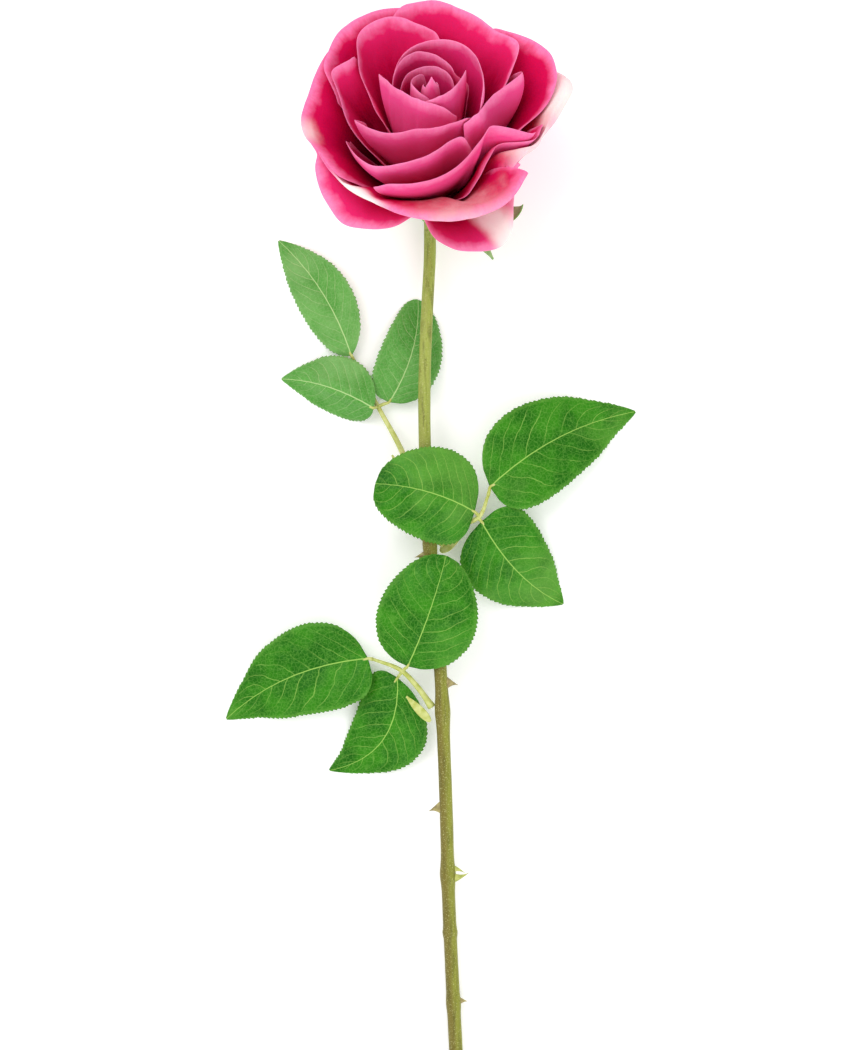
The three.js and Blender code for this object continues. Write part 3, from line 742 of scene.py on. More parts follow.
PETALS: tuple[Petal, ...] = (
    Petal(1, 20, 140, ((-120, 0.05, 0.94), (-40, 0.05, 0.94), (15, 0.045, 1.03), (70, 0.06, 0.94),
          (160, 0.05, 0.93)), 96),
    Petal(2, 280, 100, ((180, 0.12, 0.92), (235, 0.13, 0.95), (300, 0.14, 0.98), (340, 0.13, 0.94),
          (380, 0.12, 0.88)), 94),
    Petal(3, 180, 100, ((80, 0.19, 0.92), (118, 0.16, 0.96), (190, 0.15, 0.97), (241, 0.19, 0.95),
          (280, 0.22, 0.9)), 97),
    Petal(4, 45, 70, ((-25, 0.18, 0.92), (20, 0.17, 0.955), (51, 0.18, 0.96), (85, 0.22, 0.98),
          (107, 0.28, 1.02), (115, 0.28, 0.94)), 92, corner=0.05),
    Petal(5, 190, 85, ((105, 0.2, 0.95), (152, 0.21, 1.0), (204, 0.26, 1.03), (240, 0.265, 1.0),
          (275, 0.26, 0.95)), 100),
    Petal(6, 152, 95, ((57, 0.39, 0.84), (69, 0.39, 0.9), (88, 0.39, 0.98), (117, 0.375, 1.04),
          (140, 0.365, 1.055), (163, 0.34, 1.06), (187, 0.31, 1.05), (217, 0.29, 1.03), (247, 0.285, 0.99)),
          98, corner=0.1),
    Petal(7, 325, 82, ((243, 0.33, 0.86), (255, 0.37, 0.95), (261, 0.39, 0.98), (270, 0.31, 0.965),
          (298, 0.23, 0.96), (340, 0.2, 0.95), (363, 0.2, 0.93), (385, 0.22, 0.9), (407, 0.27, 0.85)),
          88, corner=0.05),
    Petal(8, 225, 66, ((159, 0.42, 0.97), (167, 0.44, 1.0), (191, 0.58, 1.02), (199, 0.67, 1.025),
          (207, 0.72, 1.02), (220, 0.76, 0.98), (227, 0.75, 0.95), (236, 0.65, 0.9), (259, 0.46, 0.82),
          (291, 0.34, 0.68)), 62),
    Petal(9, 356, 72, ((284, 0.44, 0.68), (288, 0.56, 0.78), (291, 0.62, 0.82), (298, 0.58, 0.82),
          (326, 0.49, 0.845), (344, 0.41, 0.865), (384, 0.36, 0.87), (404, 0.375, 0.865),
          (416, 0.385, 0.83), (428, 0.4, 0.77)), 76, corner=0.0),
    Petal(11, 148, 62, ((86, 0.42, 0.8), (101, 0.56, 0.84), (114, 0.68, 0.89), (124, 0.81, 0.95),
          (139, 0.73, 0.97), (148, 0.72, 1.02), (165, 0.76, 1.03), (176, 0.79, 1.05), (195, 0.78, 1.03),
          (210, 0.76, 0.98)), 55, corner=0.1),
    Petal(10, 80, 42, ((38, 0.37, 0.84), (51, 0.365, 0.86), (66, 0.39, 0.86), (82, 0.43, 0.855),
          (90, 0.47, 0.86), (98, 0.56, 0.875), (103, 0.66, 0.9), (106, 0.76, 0.91), (110, 0.66, 0.87),
          (116, 0.56, 0.8), (122, 0.5, 0.72)), 110, start=30, corner=0.0),
    Petal(12, 272, 46, ((226, 0.56, 0.93), (240, 0.64, 0.92), (251, 0.74, 0.9), (255, 0.78, 0.89),
          (259, 0.71, 0.83), (265, 0.66, 0.77), (280, 0.6, 0.69), (311, 0.46, 0.53), (318, 0.44, 0.5)), 60),
    Petal(13, 342, 62, ((280, 0.66, 0.67), (310, 0.7, 0.69), (325, 0.73, 0.72), (344, 0.65, 0.77),
          (376, 0.46, 0.8), (388, 0.46, 0.82), (396, 0.48, 0.815), (404, 0.54, 0.77)), 76, corner=0.2),
    Petal(14, 20, 54, ((326, 0.8, 0.65), (351, 0.72, 0.67), (367, 0.65, 0.68), (388, 0.58, 0.73),
          (405, 0.53, 0.78), (417, 0.52, 0.83), (422, 0.62, 0.81), (432, 0.84, 0.79)), 76, corner=0.1),
    Petal(15, 112, 40, ((72, 0.6, 0.58), (83, 0.66, 0.62), (97, 0.89, 0.72), (105, 0.98, 0.82),
          (114, 0.99, 0.89), (121, 0.94, 0.92), (141, 0.78, 0.95), (152, 0.78, 0.95)), 40),
    Petal(16, 218, 42, ((176, 0.8, 0.95), (205, 0.85, 0.99), (220, 0.87, 0.98), (232, 0.88, 0.95),
          (246, 0.84, 0.9), (260, 0.86, 0.84)), 34),
    Petal(17, 52, 38, ((14, 0.62, 0.44), (24, 0.65, 0.46), (35, 0.62, 0.55), (45, 0.59, 0.63),
          (56, 0.58, 0.68), (66, 0.63, 0.7), (74, 0.76, 0.71), (81, 0.85, 0.72), (90, 0.88, 0.7)), 44),
    Petal(18, 272, 44, ((228, 0.88, 0.9), (246, 0.85, 0.9), (257, 0.87, 0.86), (266, 0.9, 0.8),
          (278, 0.96, 0.76), (286, 0.96, 0.71), (293, 0.9, 0.67), (300, 0.86, 0.6), (316, 0.8, 0.5)), 22),
    Petal(19, 348, 62, ((288, 0.85, 0.56), (310, 0.82, 0.505), (330, 0.8, 0.49), (348, 0.83, 0.475),
          (372, 0.88, 0.47), (387, 0.9, 0.48), (396, 0.93, 0.52), (403, 0.94, 0.58), (409, 0.92, 0.65)),
          -60, ((288, 0.84, 0.6), (310, 0.8, 0.54), (326, 0.72, 0.5), (346, 0.68, 0.48), (371, 0.66, 0.48),
          (385, 0.7, 0.49), (393, 0.76, 0.51), (402, 0.83, 0.57), (409, 0.89, 0.66)), start=62, corner=0.0),
    Petal(20, 80, 42, ((38, 0.7, 0.5), (57, 0.72, 0.55), (65, 0.75, 0.6), (83, 0.88, 0.65), (96, 1.0, 0.69),
          (103, 1.11, 0.74), (108, 1.06, 0.75), (122, 0.96, 0.7)), -60, ((38, 0.62, 0.6), (57, 0.62, 0.64),
          (65, 0.64, 0.66), (76, 0.77, 0.69), (83, 0.84, 0.71), (96, 0.93, 0.74), (105, 1.01, 0.77),
          (122, 0.92, 0.72)), start=62, corner=0.0),
    Petal(21, 166, 42, ((124, 0.92, 0.6), (166, 0.98, 0.7), (208, 0.92, 0.6)), 15),
    Petal(22, 306, 38, ((268, 0.92, 0.6), (286, 0.9, 0.58), (301, 0.94, 0.42), (315, 0.92, 0.28),
          (327, 0.74, 0.22), (335, 0.61, 0.19), (344, 0.46, 0.15)), -20, start=40),
    Petal(23, 232, 42, ((190, 0.94, 0.5), (232, 0.98, 0.58), (274, 0.86, 0.48)), 0),
    Petal(24, 134, 38, ((96, 0.78, 0.36), (134, 0.98, 0.5), (172, 0.94, 0.4)), -10),
    Petal(25, 30, 42, ((-12, 0.44, 0.26), (-4, 0.5, 0.2), (1, 0.6, 0.15), (15, 0.74, 0.12),
          (28, 0.85, 0.14), (34, 0.99, 0.22), (38, 1.03, 0.35), (42, 0.9, 0.43), (46, 0.86, 0.54),
          (49, 0.87, 0.7), (53, 0.78, 0.64), (72, 0.7, 0.46)), -30, start=30, corner=0.0),
    Petal(26, 188, 42, ((146, 0.96, 0.26), (188, 1.02, 0.3), (230, 0.96, 0.24)), -8),
)

# For each petal with cream on it: the patches, each with its turn, how many degrees it spreads, how far below
# the rim it goes in millimetres and how strong it is.
CREAM: dict[int, tuple[tuple[float, float, float, float], ...]] = {
    18: ((283, 8, 8.0, 0.55),),
    19: ((320, 17, 3.2, 1.0), (375, 38, 24.0, 0.4)),
    20: ((98, 20, 12.0, 0.8), (74, 20, 15.0, 0.66)),
    25: ((36, 4.5, 26.0, 1.0), (46, 6, 30.0, 0.45)),
}


@dataclass(frozen=True)
class Sepal:
    """One sepal.

    Turn is where its middle stands, reach and rise where its tip is, point and start which way its tip and
    its foot run. Fullness is where along it it is widest, and half is its half width there.
    """

    turn: float
    reach: float
    rise: float
    point: float
    start: float = 0.0
    fullness: float = 0.62
    half: float = 5.2


SEPALS: tuple[Sepal, ...] = (
    Sepal(48, 32, -11, -50),
    Sepal(80, 35.5, 3, 95, -45, 1.3, 8.0),
    Sepal(165, 32, -11, -50),
    Sepal(237, 32, -11, -50),
    Sepal(284, 30, -4, -20),
)


@dataclass
class PetalLines:
    """Petals drawn as lines from the receptacle to the rim, each clear of those inside it.

    Step is the degrees between lines and rows the steps along one. Spacing is the millimetres between petals
    that lie together, and rounds how often a petal is moved clear. The first petal leaves the dome where its
    slope is steepest and the last where it is flattest, and none steeper than steep, in degrees. Fold is where
    on its way to the rim a petal reaches its crest, and over the way that it points there.
    """

    step: float = 3.0
    rows: int = 12
    spacing: float = 1.2
    rounds: int = 18
    steepest: float = 84.0
    flattest: float = 6.0
    steep: float = 62.0
    fold: float = 0.72
    over: float = 8.0
    inner: dict[int, list[np.ndarray]] = field(default_factory=dict)

    def turns(self, petal: Petal) -> np.ndarray:
        """The turns that a petal's lines stand at."""
        first = round((petal.turn - petal.span) / self.step)
        last = round((petal.turn + petal.span) / self.step)
        return np.arange(first, last + 1) * self.step

    def edge(self, petal: Petal, knots: Sequence[Triple], turns: np.ndarray) -> np.ndarray:
        """Works out a rim or a crest.

        Args:
            petal: The petal.
            knots: The places that its rim or crest passes.
            turns: Where its lines stand.

        Returns:
            Its radius and rise at each turn, in millimetres.
        """
        round_all = petal.span >= 120
        knots = ((turn - petal.turn, reach, rise) for turn, reach, rise in knots)
        ordered = sorted((t if round_all else (t + 180) % 360 - 180, r, h) for t, r, h in knots)
        at, reach, rise = np.array(ordered).T
        offset = turns - petal.turn
        pair = np.column_stack([np.interp(offset, at, reach), np.interp(offset, at, rise)])
        padded = np.vstack([pair[:1], pair, pair[-1:]])
        pair = padded[:-2] * 0.2 + padded[1:-1] * 0.6 + padded[2:] * 0.2
        return pair * (FRAME.radius, FRAME.height)

    @staticmethod
    def arc(
        v: np.ndarray, ends: Sequence[np.ndarray], ways: Sequence[float], pulls: Sequence[float]
    ) -> np.ndarray:
        """A smooth line between two places.

        Args:
            v: The share of the way along, for each line and row.
            ends: Where each line starts and ends.
            ways: Which way it starts and ends, as angles.
            pulls: How strongly, as shares of its length.

        Returns:
            Radius and rise for each line and row.
        """
        reach = np.hypot(*(ends[1] - ends[0]).T)
        aims = [np.outer(reach * pull, (math.cos(way), math.sin(way))) for way, pull in zip(ways, pulls)]
        ordered = (ends[0], aims[0], ends[1], aims[1])
        return sum(part[..., None] * end[:, None] for part, end in zip(blends(v), ordered))

    def draw(
        self, petal: Petal, layer: float, foot: tuple[float, float] | None = None
    ) -> tuple[np.ndarray, np.ndarray]:
        """Draws a petal's lines before it settles.

        Args:
            petal: The petal.
            layer: How far out it is, from 0 at the heart to 1.
            foot: Where its lines start, if not on the receptacle's dome.

        Returns:
            The turns, and for each a line of radius and rise.
        """
        level = math.radians(self.steepest + (self.flattest - self.steepest) * layer)
        turns = self.turns(petal)
        u = np.abs(np.clip((turns - petal.turn) / petal.span, -1, 1))
        if foot is None:
            foot = ((HIP.radius + HIP.gap) * math.cos(level), (HIP.dome + HIP.gap) * math.sin(level))
        rim = self.edge(petal, petal.rim, turns)
        begin = min(level, math.radians(self.steep)) if petal.start is None else math.radians(petal.start)
        curl = math.radians(petal.curl)
        low = 0.45 * u**4
        high = 1 - petal.corner * smoothstep(u, 0.72, 1.0) ** 1.5
        v = low[:, None] + (high - low)[:, None] * np.linspace(0, 1, self.rows + 1)[None, :]
        feet = np.repeat(np.array([foot]), len(turns), axis=0)
        if petal.crest:
            crest, over = self.edge(petal, petal.crest, turns), math.radians(self.over)
            lower = self.arc(np.minimum(v / self.fold, 1), (feet, crest), (begin, over), (1.0, 0.8))
            past = np.maximum((v - self.fold) / (1 - self.fold), 0)
            upper = self.arc(past, (crest, rim), (over, curl), (1.3, 1.1))
            lines = np.where((v < self.fold)[..., None], lower, upper)
        else:
            lines = self.arc(v, (feet, rim), (begin, curl), (1.0, 0.85))
        lines[..., 0] = np.maximum(lines[..., 0], NARROWEST)
        return turns, lines

    def outward(self, points: np.ndarray, others: np.ndarray) -> np.ndarray:
        """The move that brings each point clear of some lines, if it is too near or inside one.

        Args:
            points: The points, as radius and rise.
            others: The lines, with as many places each.

        Returns:
            One move for each point.
        """
        a, way = others[:, :-1], np.diff(others, axis=1)
        square = np.maximum((way**2).sum(-1), 1e-9)
        rel = points[:, None, None] - a[None]
        t = np.clip((rel * way[None]).sum(-1) / square[None], 0, 1)
        off = rel - t[..., None] * way[None]
        away = np.hypot(off[..., 0], off[..., 1])
        best = away.argmin(axis=2)
        rows, lines = np.indices(best.shape)
        t, off, away = t[rows, lines, best], off[rows, lines, best], away[rows, lines, best]
        along = way[lines, best]
        normal = np.stack([along[..., 1], -along[..., 0]], -1) / np.sqrt(square[lines, best])[..., None]
        last = others.shape[1] - 2
        beyond = ((best == 0) & (t <= 0)) | ((best == last) & (t >= 1))
        outside = (off * normal).sum(-1)
        signed = np.where((t > 0) & (t < 1), outside, np.where(outside < 0, -away, away))
        lack = self.spacing - signed
        free = (signed >= self.spacing) | (signed < -4 * self.spacing)
        move = np.where(free[..., None], 0.0, normal * lack[..., None])
        ends = off / np.maximum(away, 1e-6)[..., None] * (self.spacing - away)[..., None]
        ends = np.where((away >= self.spacing)[..., None], 0.0, ends)
        move = np.where(beyond[..., None], ends, move)
        largest = np.hypot(move[..., 0], move[..., 1]).argmax(axis=1)
        return move[np.arange(len(points)), largest]

    def yielding(self, line: np.ndarray, others: np.ndarray) -> np.ndarray:
        """The move that brings a line's stretches clear of other lines' points.

        Args:
            line: The line, as radius and rise.
            others: The other lines.

        Returns:
            One move for each place of the line.
        """
        points = others.reshape(-1, 2)
        a, way = line[:-1], np.diff(line, axis=0)
        square = np.maximum((way**2).sum(-1), 1e-9)
        rel = points[:, None] - a[None]
        t = (rel * way[None]).sum(-1) / square[None]
        normal = np.stack([-way[:, 1], way[:, 0]], -1) / np.sqrt(square)[:, None]
        signed = (rel * normal[None]).sum(-1)
        lack = self.spacing - signed
        use = (t > 0) & (t < 1) & (signed < self.spacing) & (lack < 2 * self.spacing)
        lack = np.where(use, lack, 0.0)
        worst = lack.max(axis=0)
        push = -normal * worst[:, None]
        move = np.zeros_like(line)
        for shift in (slice(0, -1), slice(1, None)):
            bigger = np.hypot(*push.T) > np.hypot(*move[shift].T)
            move[shift] = np.where(bigger[:, None], push, move[shift])
        return move

    def settle(self, turns: np.ndarray, lines: np.ndarray, lowest: float) -> np.ndarray:
        """Moves a petal outside those within it, easing the moves so that it stays smooth.

        Args:
            turns: Where its lines stand.
            lines: Its lines, which are changed.
            lowest: How low its middle surface may lie.

        Returns:
            The settled lines.
        """
        tilt = math.radians(FRAME.tilt)
        forward = np.cos(np.radians(turns)) * math.cos(tilt)
        slope = np.column_stack([forward, np.full(len(turns), math.sin(tilt))])
        size = (slope**2).sum(-1)
        for count in range(self.rounds):
            moves = np.zeros_like(lines)
            for c, turn in enumerate(turns):
                others = self.inner.get(int(turn) % 360)
                if others:
                    stack = np.array(others)
                    first, second = self.outward(lines[c], stack), self.yielding(lines[c], stack)
                    bigger = np.hypot(*second.T) > np.hypot(*first.T)
                    moves[c] = np.where(bigger[:, None], second, first)
            moved = lines + moves
            height = FRAME.base[2] + moved[..., 1] * math.sin(tilt)
            height = height + moved[..., 0] * forward[:, None]
            lack = np.maximum(0, lowest - height) / size[:, None]
            moves += lack[..., None] * slope[:, None]
            if count + 3 < self.rounds:
                for _ in range(3):
                    padded = np.pad(moves, ((1, 1), (1, 1), (0, 0)), mode="edge")
                    around = padded[:-2, 1:-1] + padded[2:, 1:-1] + padded[1:-1, :-2] + padded[1:-1, 2:]
                    moves = 0.5 * moves + 0.125 * around
            lines = lines + moves
            lines[..., 0] = np.maximum(lines[..., 0], NARROWEST)
        return lines

    def keep(self, turns: np.ndarray, lines: np.ndarray) -> None:
        """Adds a settled petal to those that later ones stay outside."""
        for turn, line in zip(turns, lines):
            self.inner.setdefault(int(turn) % 360, []).append(line)


# The pale rims are partly a painted edge highlight; the dark low parts and feet are partly painted shade of
# the bloom's depths over the petals' own deeper colour.
TONES: dict[Slot, tuple[str, ...]] = {  # each petal's rim, face, low part, foot and outer face
    Slot.PETAL_HEART: ("#f58cb8", "#dc3279", "#c8125a", "#7e0029", "#e34e8c"),
    Slot.PETAL_MIDDLE: ("#f586b4", "#dc2468", "#b60442", "#5a0018", "#ec5494"),
    Slot.PETAL_OUTER: ("#f481b0", "#c80f50", "#aa0039", "#620020", "#e84e8e"),
    Slot.PETAL_BACK: ("#f48db8", "#dc2e72", "#bc0a4c", "#820030", "#ea609a"),
}
LAST_PETAL = dict(zip(TONES, (6, 13, 20, 26)))


@dataclass
class Bloom:
    """The open flower: petals, sepals and receptacle.

    The last petals, as many as resting says, leave room for each other above the table. Fade is how far below
    its rim a petal has its deepest colour, partly painted shade of the bloom's depths, and margin how deep its
    two ends count as, so that they take the pale rim that is partly a painted edge highlight, in millimetres.
    Ruffle is the size of the waves near a rim, and wavy how far below it they go.
    the size of the waves near a rim, and wavy how far below it they go.
    """

    thickness: float = 0.38
    resting: int = 8
    cad_thickness: float = 0.5
    fade: float = 34.0
    margin: float = 2.0
    ruffle: float = 0.5
    wavy: float = 14.0
    sepal_span: float = 17.0
    sepal_thickness: float = 0.5
    sepal_foot: float = 2.4
    sepal_tip: float = 0.35
    finishes: dict[Slot, tuple[Material, ...]] = field(default_factory=dict)
    lines: PetalLines = field(default_factory=PetalLines)

    def dress(self) -> None:
        """Makes the bloom's finishes, each pair with its outer face first."""
        for slot, (rim, face, low, foot, back) in TONES.items():
            inside = PetalFinish(f"{slot.value}_inside", rim, face, low, foot)
            # The outer faces darken towards their feet too: painted shade where they turn into the bloom.
            outside = PetalFinish(f"{slot.value}_outside", rim, back, back, face, roughness=0.68)
            self.finishes[slot] = (outside.make(), inside.make())
        sepal = FleshFinish("sepal_green", "#4f9c2a", "#80bc50", 300.0).make()
        under = FleshFinish("sepal_under", "#79a95a", "#9cc27c", 300.0, 0.6).make()
        self.finishes[Slot.SEPAL] = (sepal, under)

    def cream(self, index: int, turns: np.ndarray, below: np.ndarray) -> np.ndarray:
        """How creamy each place of a petal is.

        Args:
            index: The petal's number.
            turns: Where its lines stand.
            below: How far each place is below the rim.

        Returns:
            A share for each place.
        """
        cream = np.zeros_like(below)
        for turn, spread, deep, strength in CREAM.get(index, ()):
            off = (turns - turn + 180) % 360 - 180
            patch = np.exp(-((off / spread) ** 2))[:, None] * (1 - smoothstep(below, deep * 0.5, deep * 1.5))
            cream = np.maximum(cream, strength * patch)
        return cream

    def petal(self, order: int, petal: Petal) -> None:
        """Models one petal.

        Args:
            order: Its place from the heart, from 1.
            petal: How it is drawn.
        """
        slot = next(slot for slot, last in LAST_PETAL.items() if petal.number <= last)
        left = len(PETALS) - order
        lowest = self.cad_thickness / 2 + (left * self.lines.spacing if left < self.resting else 0.0)
        turns, lines = self.lines.draw(petal, (order - 1) / len(PETALS))
        lines = self.lines.settle(turns, lines, lowest)
        self.lines.keep(turns, lines)
        below = np.array([run_along(line[::-1])[::-1] for line in lines])
        places = FRAME.place(turns[:, None], lines[..., 0], lines[..., 1])
        ends = run_along(places[:, -1])
        inward = np.minimum(ends, ends[-1] - ends)[:, None] + self.margin
        # Depth below the rim drives the pale rim, partly a painted edge highlight, and the painted shade deep
        # in the bloom.
        values = {"depth": np.clip(np.minimum(below, inward) / self.fade, 0, 1)}
        values["cream"] = self.cream(petal.number, turns, below)
        places = on_table(self.ruffled(places, below, petal.number), self.thickness / 2, SKIN_SOFTNESS)
        turned = {key: value.T for key, value in values.items()}
        name = f"petal_{petal.number:02d}"
        piece = Bench.sheet(f"bloom_{name}", places.transpose(1, 0, 2), self.finishes[slot], **turned)
        Bench.thicken(piece, self.thickness)
        Bench.subdivide(piece, 2)
        Bench.finish(piece, slot, name)

    def ruffled(self, places: Places, below: np.ndarray, index: int) -> Places:
        """Waves a petal near its rim.

        Args:
            places: Its lines of places.
            below: How far each is below the rim.
            index: The petal's number, which picks the waves.

        Returns:
            The moved places.
        """
        along = np.gradient(places, axis=1)
        normal = unit(np.cross(np.gradient(places, axis=0), along))
        broad, fine = waves(places, 16.0, index * 3.7), waves(places, 5.0, index * 5.3)
        lift = (1 - smoothstep(below, 0.0, self.wavy)) * self.ruffle * (1.4 * broad + 0.5 * fine)
        moved = places + normal * lift[..., None]
        rag = waves(places[:, -1], 1.7, index * 2.1) * 0.25
        moved[:, -1] += unit(along[:, -1]) * rag[:, None]
        return moved

    def sepal(self, number: int, form: Sepal) -> None:
        """Models one sepal: a narrow blade on the settled surface that its CAD solid follows.

        Args:
            number: Its number.
            form: How it is drawn.
        """
        shape = Petal(0, form.turn, self.sepal_span, (), form.point, start=form.start, corner=0.0)
        turns = self.lines.turns(shape)
        u = np.clip((turns - form.turn) / self.sepal_span, -1, 1)
        reach = through((0.5, 1.0, 0.5), u) * form.reach / FRAME.radius
        rise = through((0.2, 1.0, 0.2), u) * form.rise / FRAME.height
        shape = replace(shape, rim=tuple(zip(turns.tolist(), reach.tolist(), rise.tolist())))
        foot = (HIP.radius + HIP.gap + self.cad_thickness / 2, -1.6)
        turns, drawn = self.lines.draw(shape, 1.0, foot)
        settled = self.lines.settle(turns, drawn, self.cad_thickness / 2)
        self.lines.keep(turns, settled)
        centre = settled[len(turns) // 2]
        run = run_along(centre)
        share = np.linspace(0, 1, 22)
        spine = np.column_stack([np.interp(share * run[-1], run, centre[:, k]) for k in range(2)])
        swell = np.sin(math.pi * share**form.fullness) ** 0.8 * (1 - 0.35 * share)
        half = np.maximum(form.half * swell, self.sepal_tip)
        half[0] = self.sepal_foot
        across = np.linspace(-1, 1, 9)
        width = half[:, None] * across[None, :]
        angle = form.turn + np.degrees(width / np.maximum(spine[:, :1], 3.0))
        droop = 0.12 * np.abs(width) * np.abs(across)[None, :]
        places = FRAME.place(angle, spine[:, :1], spine[:, 1:] - droop)
        places = on_table(places, self.thickness / 2, SKIN_SOFTNESS)
        piece = Bench.sheet(f"bloom_sepal_{number}", places, self.finishes[Slot.SEPAL])
        Bench.thicken(piece, self.sepal_thickness)
        Bench.subdivide(piece, 2)
        Bench.finish(piece, Slot.SEPAL, f"sepal_{number}")

    def receptacle(self) -> None:
        """Models the receptacle and hip, rolled from their outline, with a crimson seat for the petals."""
        outline = np.array(HIP.outline(8))
        turns = np.linspace(0, 360, 41)
        places = FRAME.place(turns[None, :], outline[:, :1], outline[:, 1:])
        seat = FleshFinish("petal_seat", "#8a0a38", "#b01850").make()
        piece = Bench.sheet("bloom_receptacle", places, (self.finishes[Slot.SEPAL][0], seat))
        Bench.close(piece)
        Bench.subdivide(piece, 1)
        top = (FRAME.place(0.0, 0.0, 0.5) + SHIFT) * MM
        axis = unit(FRAME.place(0.0, 0.0, 1.0) - FRAME.place(0.0, 0.0, 0.0))
        for face in piece.data.polygons:
            face.material_index = int(np.dot(np.array(face.center) - top, axis) > 0)
        Bench.finish(piece, Slot.SEPAL, "receptacle")

    def build(self) -> None:
        """Builds the whole bloom, from the heart outwards."""
        self.dress()
        for order, petal in enumerate(PETALS, 1):
            self.petal(order, petal)
        for number, form in enumerate(SEPALS, 1):
            self.sepal(number, form)
        self.receptacle()


# ---- The stem ----


@dataclass(frozen=True)
class Spur:
    """A thorn or bud on the stem.

    Along is its place measured along Y and side the angle round the stem, 0 straight up and 90 towards +X.
    """

    along: float
    side: float
    length: float
    foot: float
    hook: float


@dataclass
class Stem:
    """The stem with its thorns and its side bud."""

    points: tuple[Triple, ...] = (
        (0.9, 102, 8), (0, 84, 10.6), (-0.8, 66, 12.6), (-1.2, 46, 13.4), (-0.8, 24, 13.8), (0.6, -4, 13.6),
        (3.2, -34, 12.8), (5.2, -60, 11.6), (6.2, -84, 10.2), (7.2, -112, 8.4), (7.8, -136, 6.8),
        (8.8, -160, 5.2), (10.4, -192, 3.2), (12, -222, 2.65),
    )
    neck_radius: float = 2.25
    cut_radius: float = 2.6
    slant: float = 30.0
    gap: float = 0.3
    knuckles: tuple[Triple, ...] = (  # each one's place along Y, its height and its spread
        (13, 0.35, 4), (-8, 0.4, 4), (-70, 0.5, 5), (-132, 0.5, 4), (-154, 0.4, 1.6), (-181, 0.3, 3),
    )
    thorns: tuple[Spur, ...] = (
        Spur(-11.2, -84, 3.6, 1.9, 0.6),
        Spur(-59.5, 86, 3.6, 2.6, 1.2),
        Spur(-106.5, -88, 3.9, 2.6, 1.4),
        Spur(-180, 84, 2.6, 1.8, 0.4),
    )
    bud: Spur = Spur(-133.5, 80, 5.6, 2, -2.2)

    def path(self, count: int) -> Places:
        """Even places along the stem's middle, from the hip to the cut end."""
        ends = [FRAME.place(0.0, 0.0, -HIP.length - HIP.gap), FRAME.place(0.0, 0.0, -HIP.length - 7)]
        return smooth_path([*map(tuple, ends), *self.points], count)

    def cane(self) -> None:
        """Models the stem with a slight knuckle wherever something leaves it."""
        path = self.path(260)
        share = np.linspace(0, 1, len(path))
        radii = self.neck_radius + (self.cut_radius - self.neck_radius) * share
        for along, height, spread in self.knuckles:
            radii = radii + height * np.exp(-(((path[:, 1] - along) / spread) ** 2))
        radii = radii * (1 + 0.02 * waves(path, 9.0, 4.0))
        places = Bench.tube(path, radii, 28)
        way = unit(path[-1] - path[-2])
        reach = (places[-1] - path[-1])[:, 2] * math.tan(math.radians(self.slant))
        places[-1] = places[-1] - way * reach[:, None]
        places[..., 2] = np.maximum(places[..., 2], 0.05)
        right = (places[..., 0] - path[:, None, 0]) / radii[:, None]
        upper = smoothstep(path[:, 1], -30.0, 80.0)[:, None]
        bark, pith = BarkFinish("stem_bark"), FleshFinish("stem_pith", "#c9cf9a", "#a3a868", 900.0, 0.7)
        piece = Bench.sheet("stem_cane", places, (bark.make(), pith.make()), right=right, upper=upper)
        Bench.close(piece)
        for face in piece.data.polygons:
            if len(face.vertices) > 6 and face.center[1] < 0:
                face.material_index = 1
        Bench.finish(piece, Slot.STEM, "stem")

    def spot(self, spur: Spur) -> tuple[np.ndarray, np.ndarray, np.ndarray]:
        """A place on the stem's skin.

        Args:
            spur: What stands there.

        Returns:
            The place, which way is out, and which way the stem runs.
        """
        path = self.path(1200)
        k = int(np.argmin(np.abs(path[:, 1] - spur.along)))
        way = unit(path[k + 1] - path[k - 1])
        right = unit(np.cross(UP, way))
        angle = math.radians(spur.side)
        out = np.cross(way, right) * math.cos(angle) + right * math.sin(angle)
        radius = self.neck_radius + (self.cut_radius - self.neck_radius) * k / (len(path) - 1)
        return path[k] + out * radius, out, way

    def spur(self, node: str, spur: Spur, finish: Material, slot: Slot) -> None:
        """Models a thorn or a bud scale: a bent, flattened cone with a flared foot.

        Args:
            node: The CAD node that it stands for.
            spur: Its size and place.
            finish: Its material.
            slot: Its slot.
        """
        foot, out, way = self.spot(spur)
        share = np.linspace(0, 1, 9)
        start = -0.5
        height = start + share * (spur.length + self.gap - start)
        centres = foot + out * height[:, None] + way * (spur.hook * share**2)[:, None]
        size = (1 - share) ** 1.5 + 0.03
        pairs = np.column_stack([spur.foot * size, spur.foot * 0.55 * size])
        ups, sides = (np.repeat(axis[None], len(share), axis=0) for axis in (way, np.cross(out, way)))
        piece = Bench.sheet(f"stem_{node}", Bench.rings(centres, ups, sides, pairs, 12), (finish,))
        Bench.close(piece)
        Bench.subdivide(piece, 1)
        Bench.finish(piece, slot, node)

    def build(self) -> None:
        """Builds the stem and what grows on it."""
        self.cane()
        thorn = FleshFinish("thorn_skin", "#7d7040", "#b0a468", 500.0).make()
        for number, spur in enumerate(self.thorns, 1):
            self.spur(f"thorn_{number}", spur, thorn, Slot.THORN)
        bud = FleshFinish("bud_skin", "#8f9a3d", "#c3c56d", 500.0).make()
        self.spur("side_bud", self.bud, bud, Slot.STALK)
        along = self.bud.along + self.bud.foot + 1.5 + self.gap
        scale = replace(self.bud, along=along, length=4, foot=1.5, hook=2)
        self.spur("side_bud_scale", scale, bud, Slot.STALK)


# ---- The leaves ----


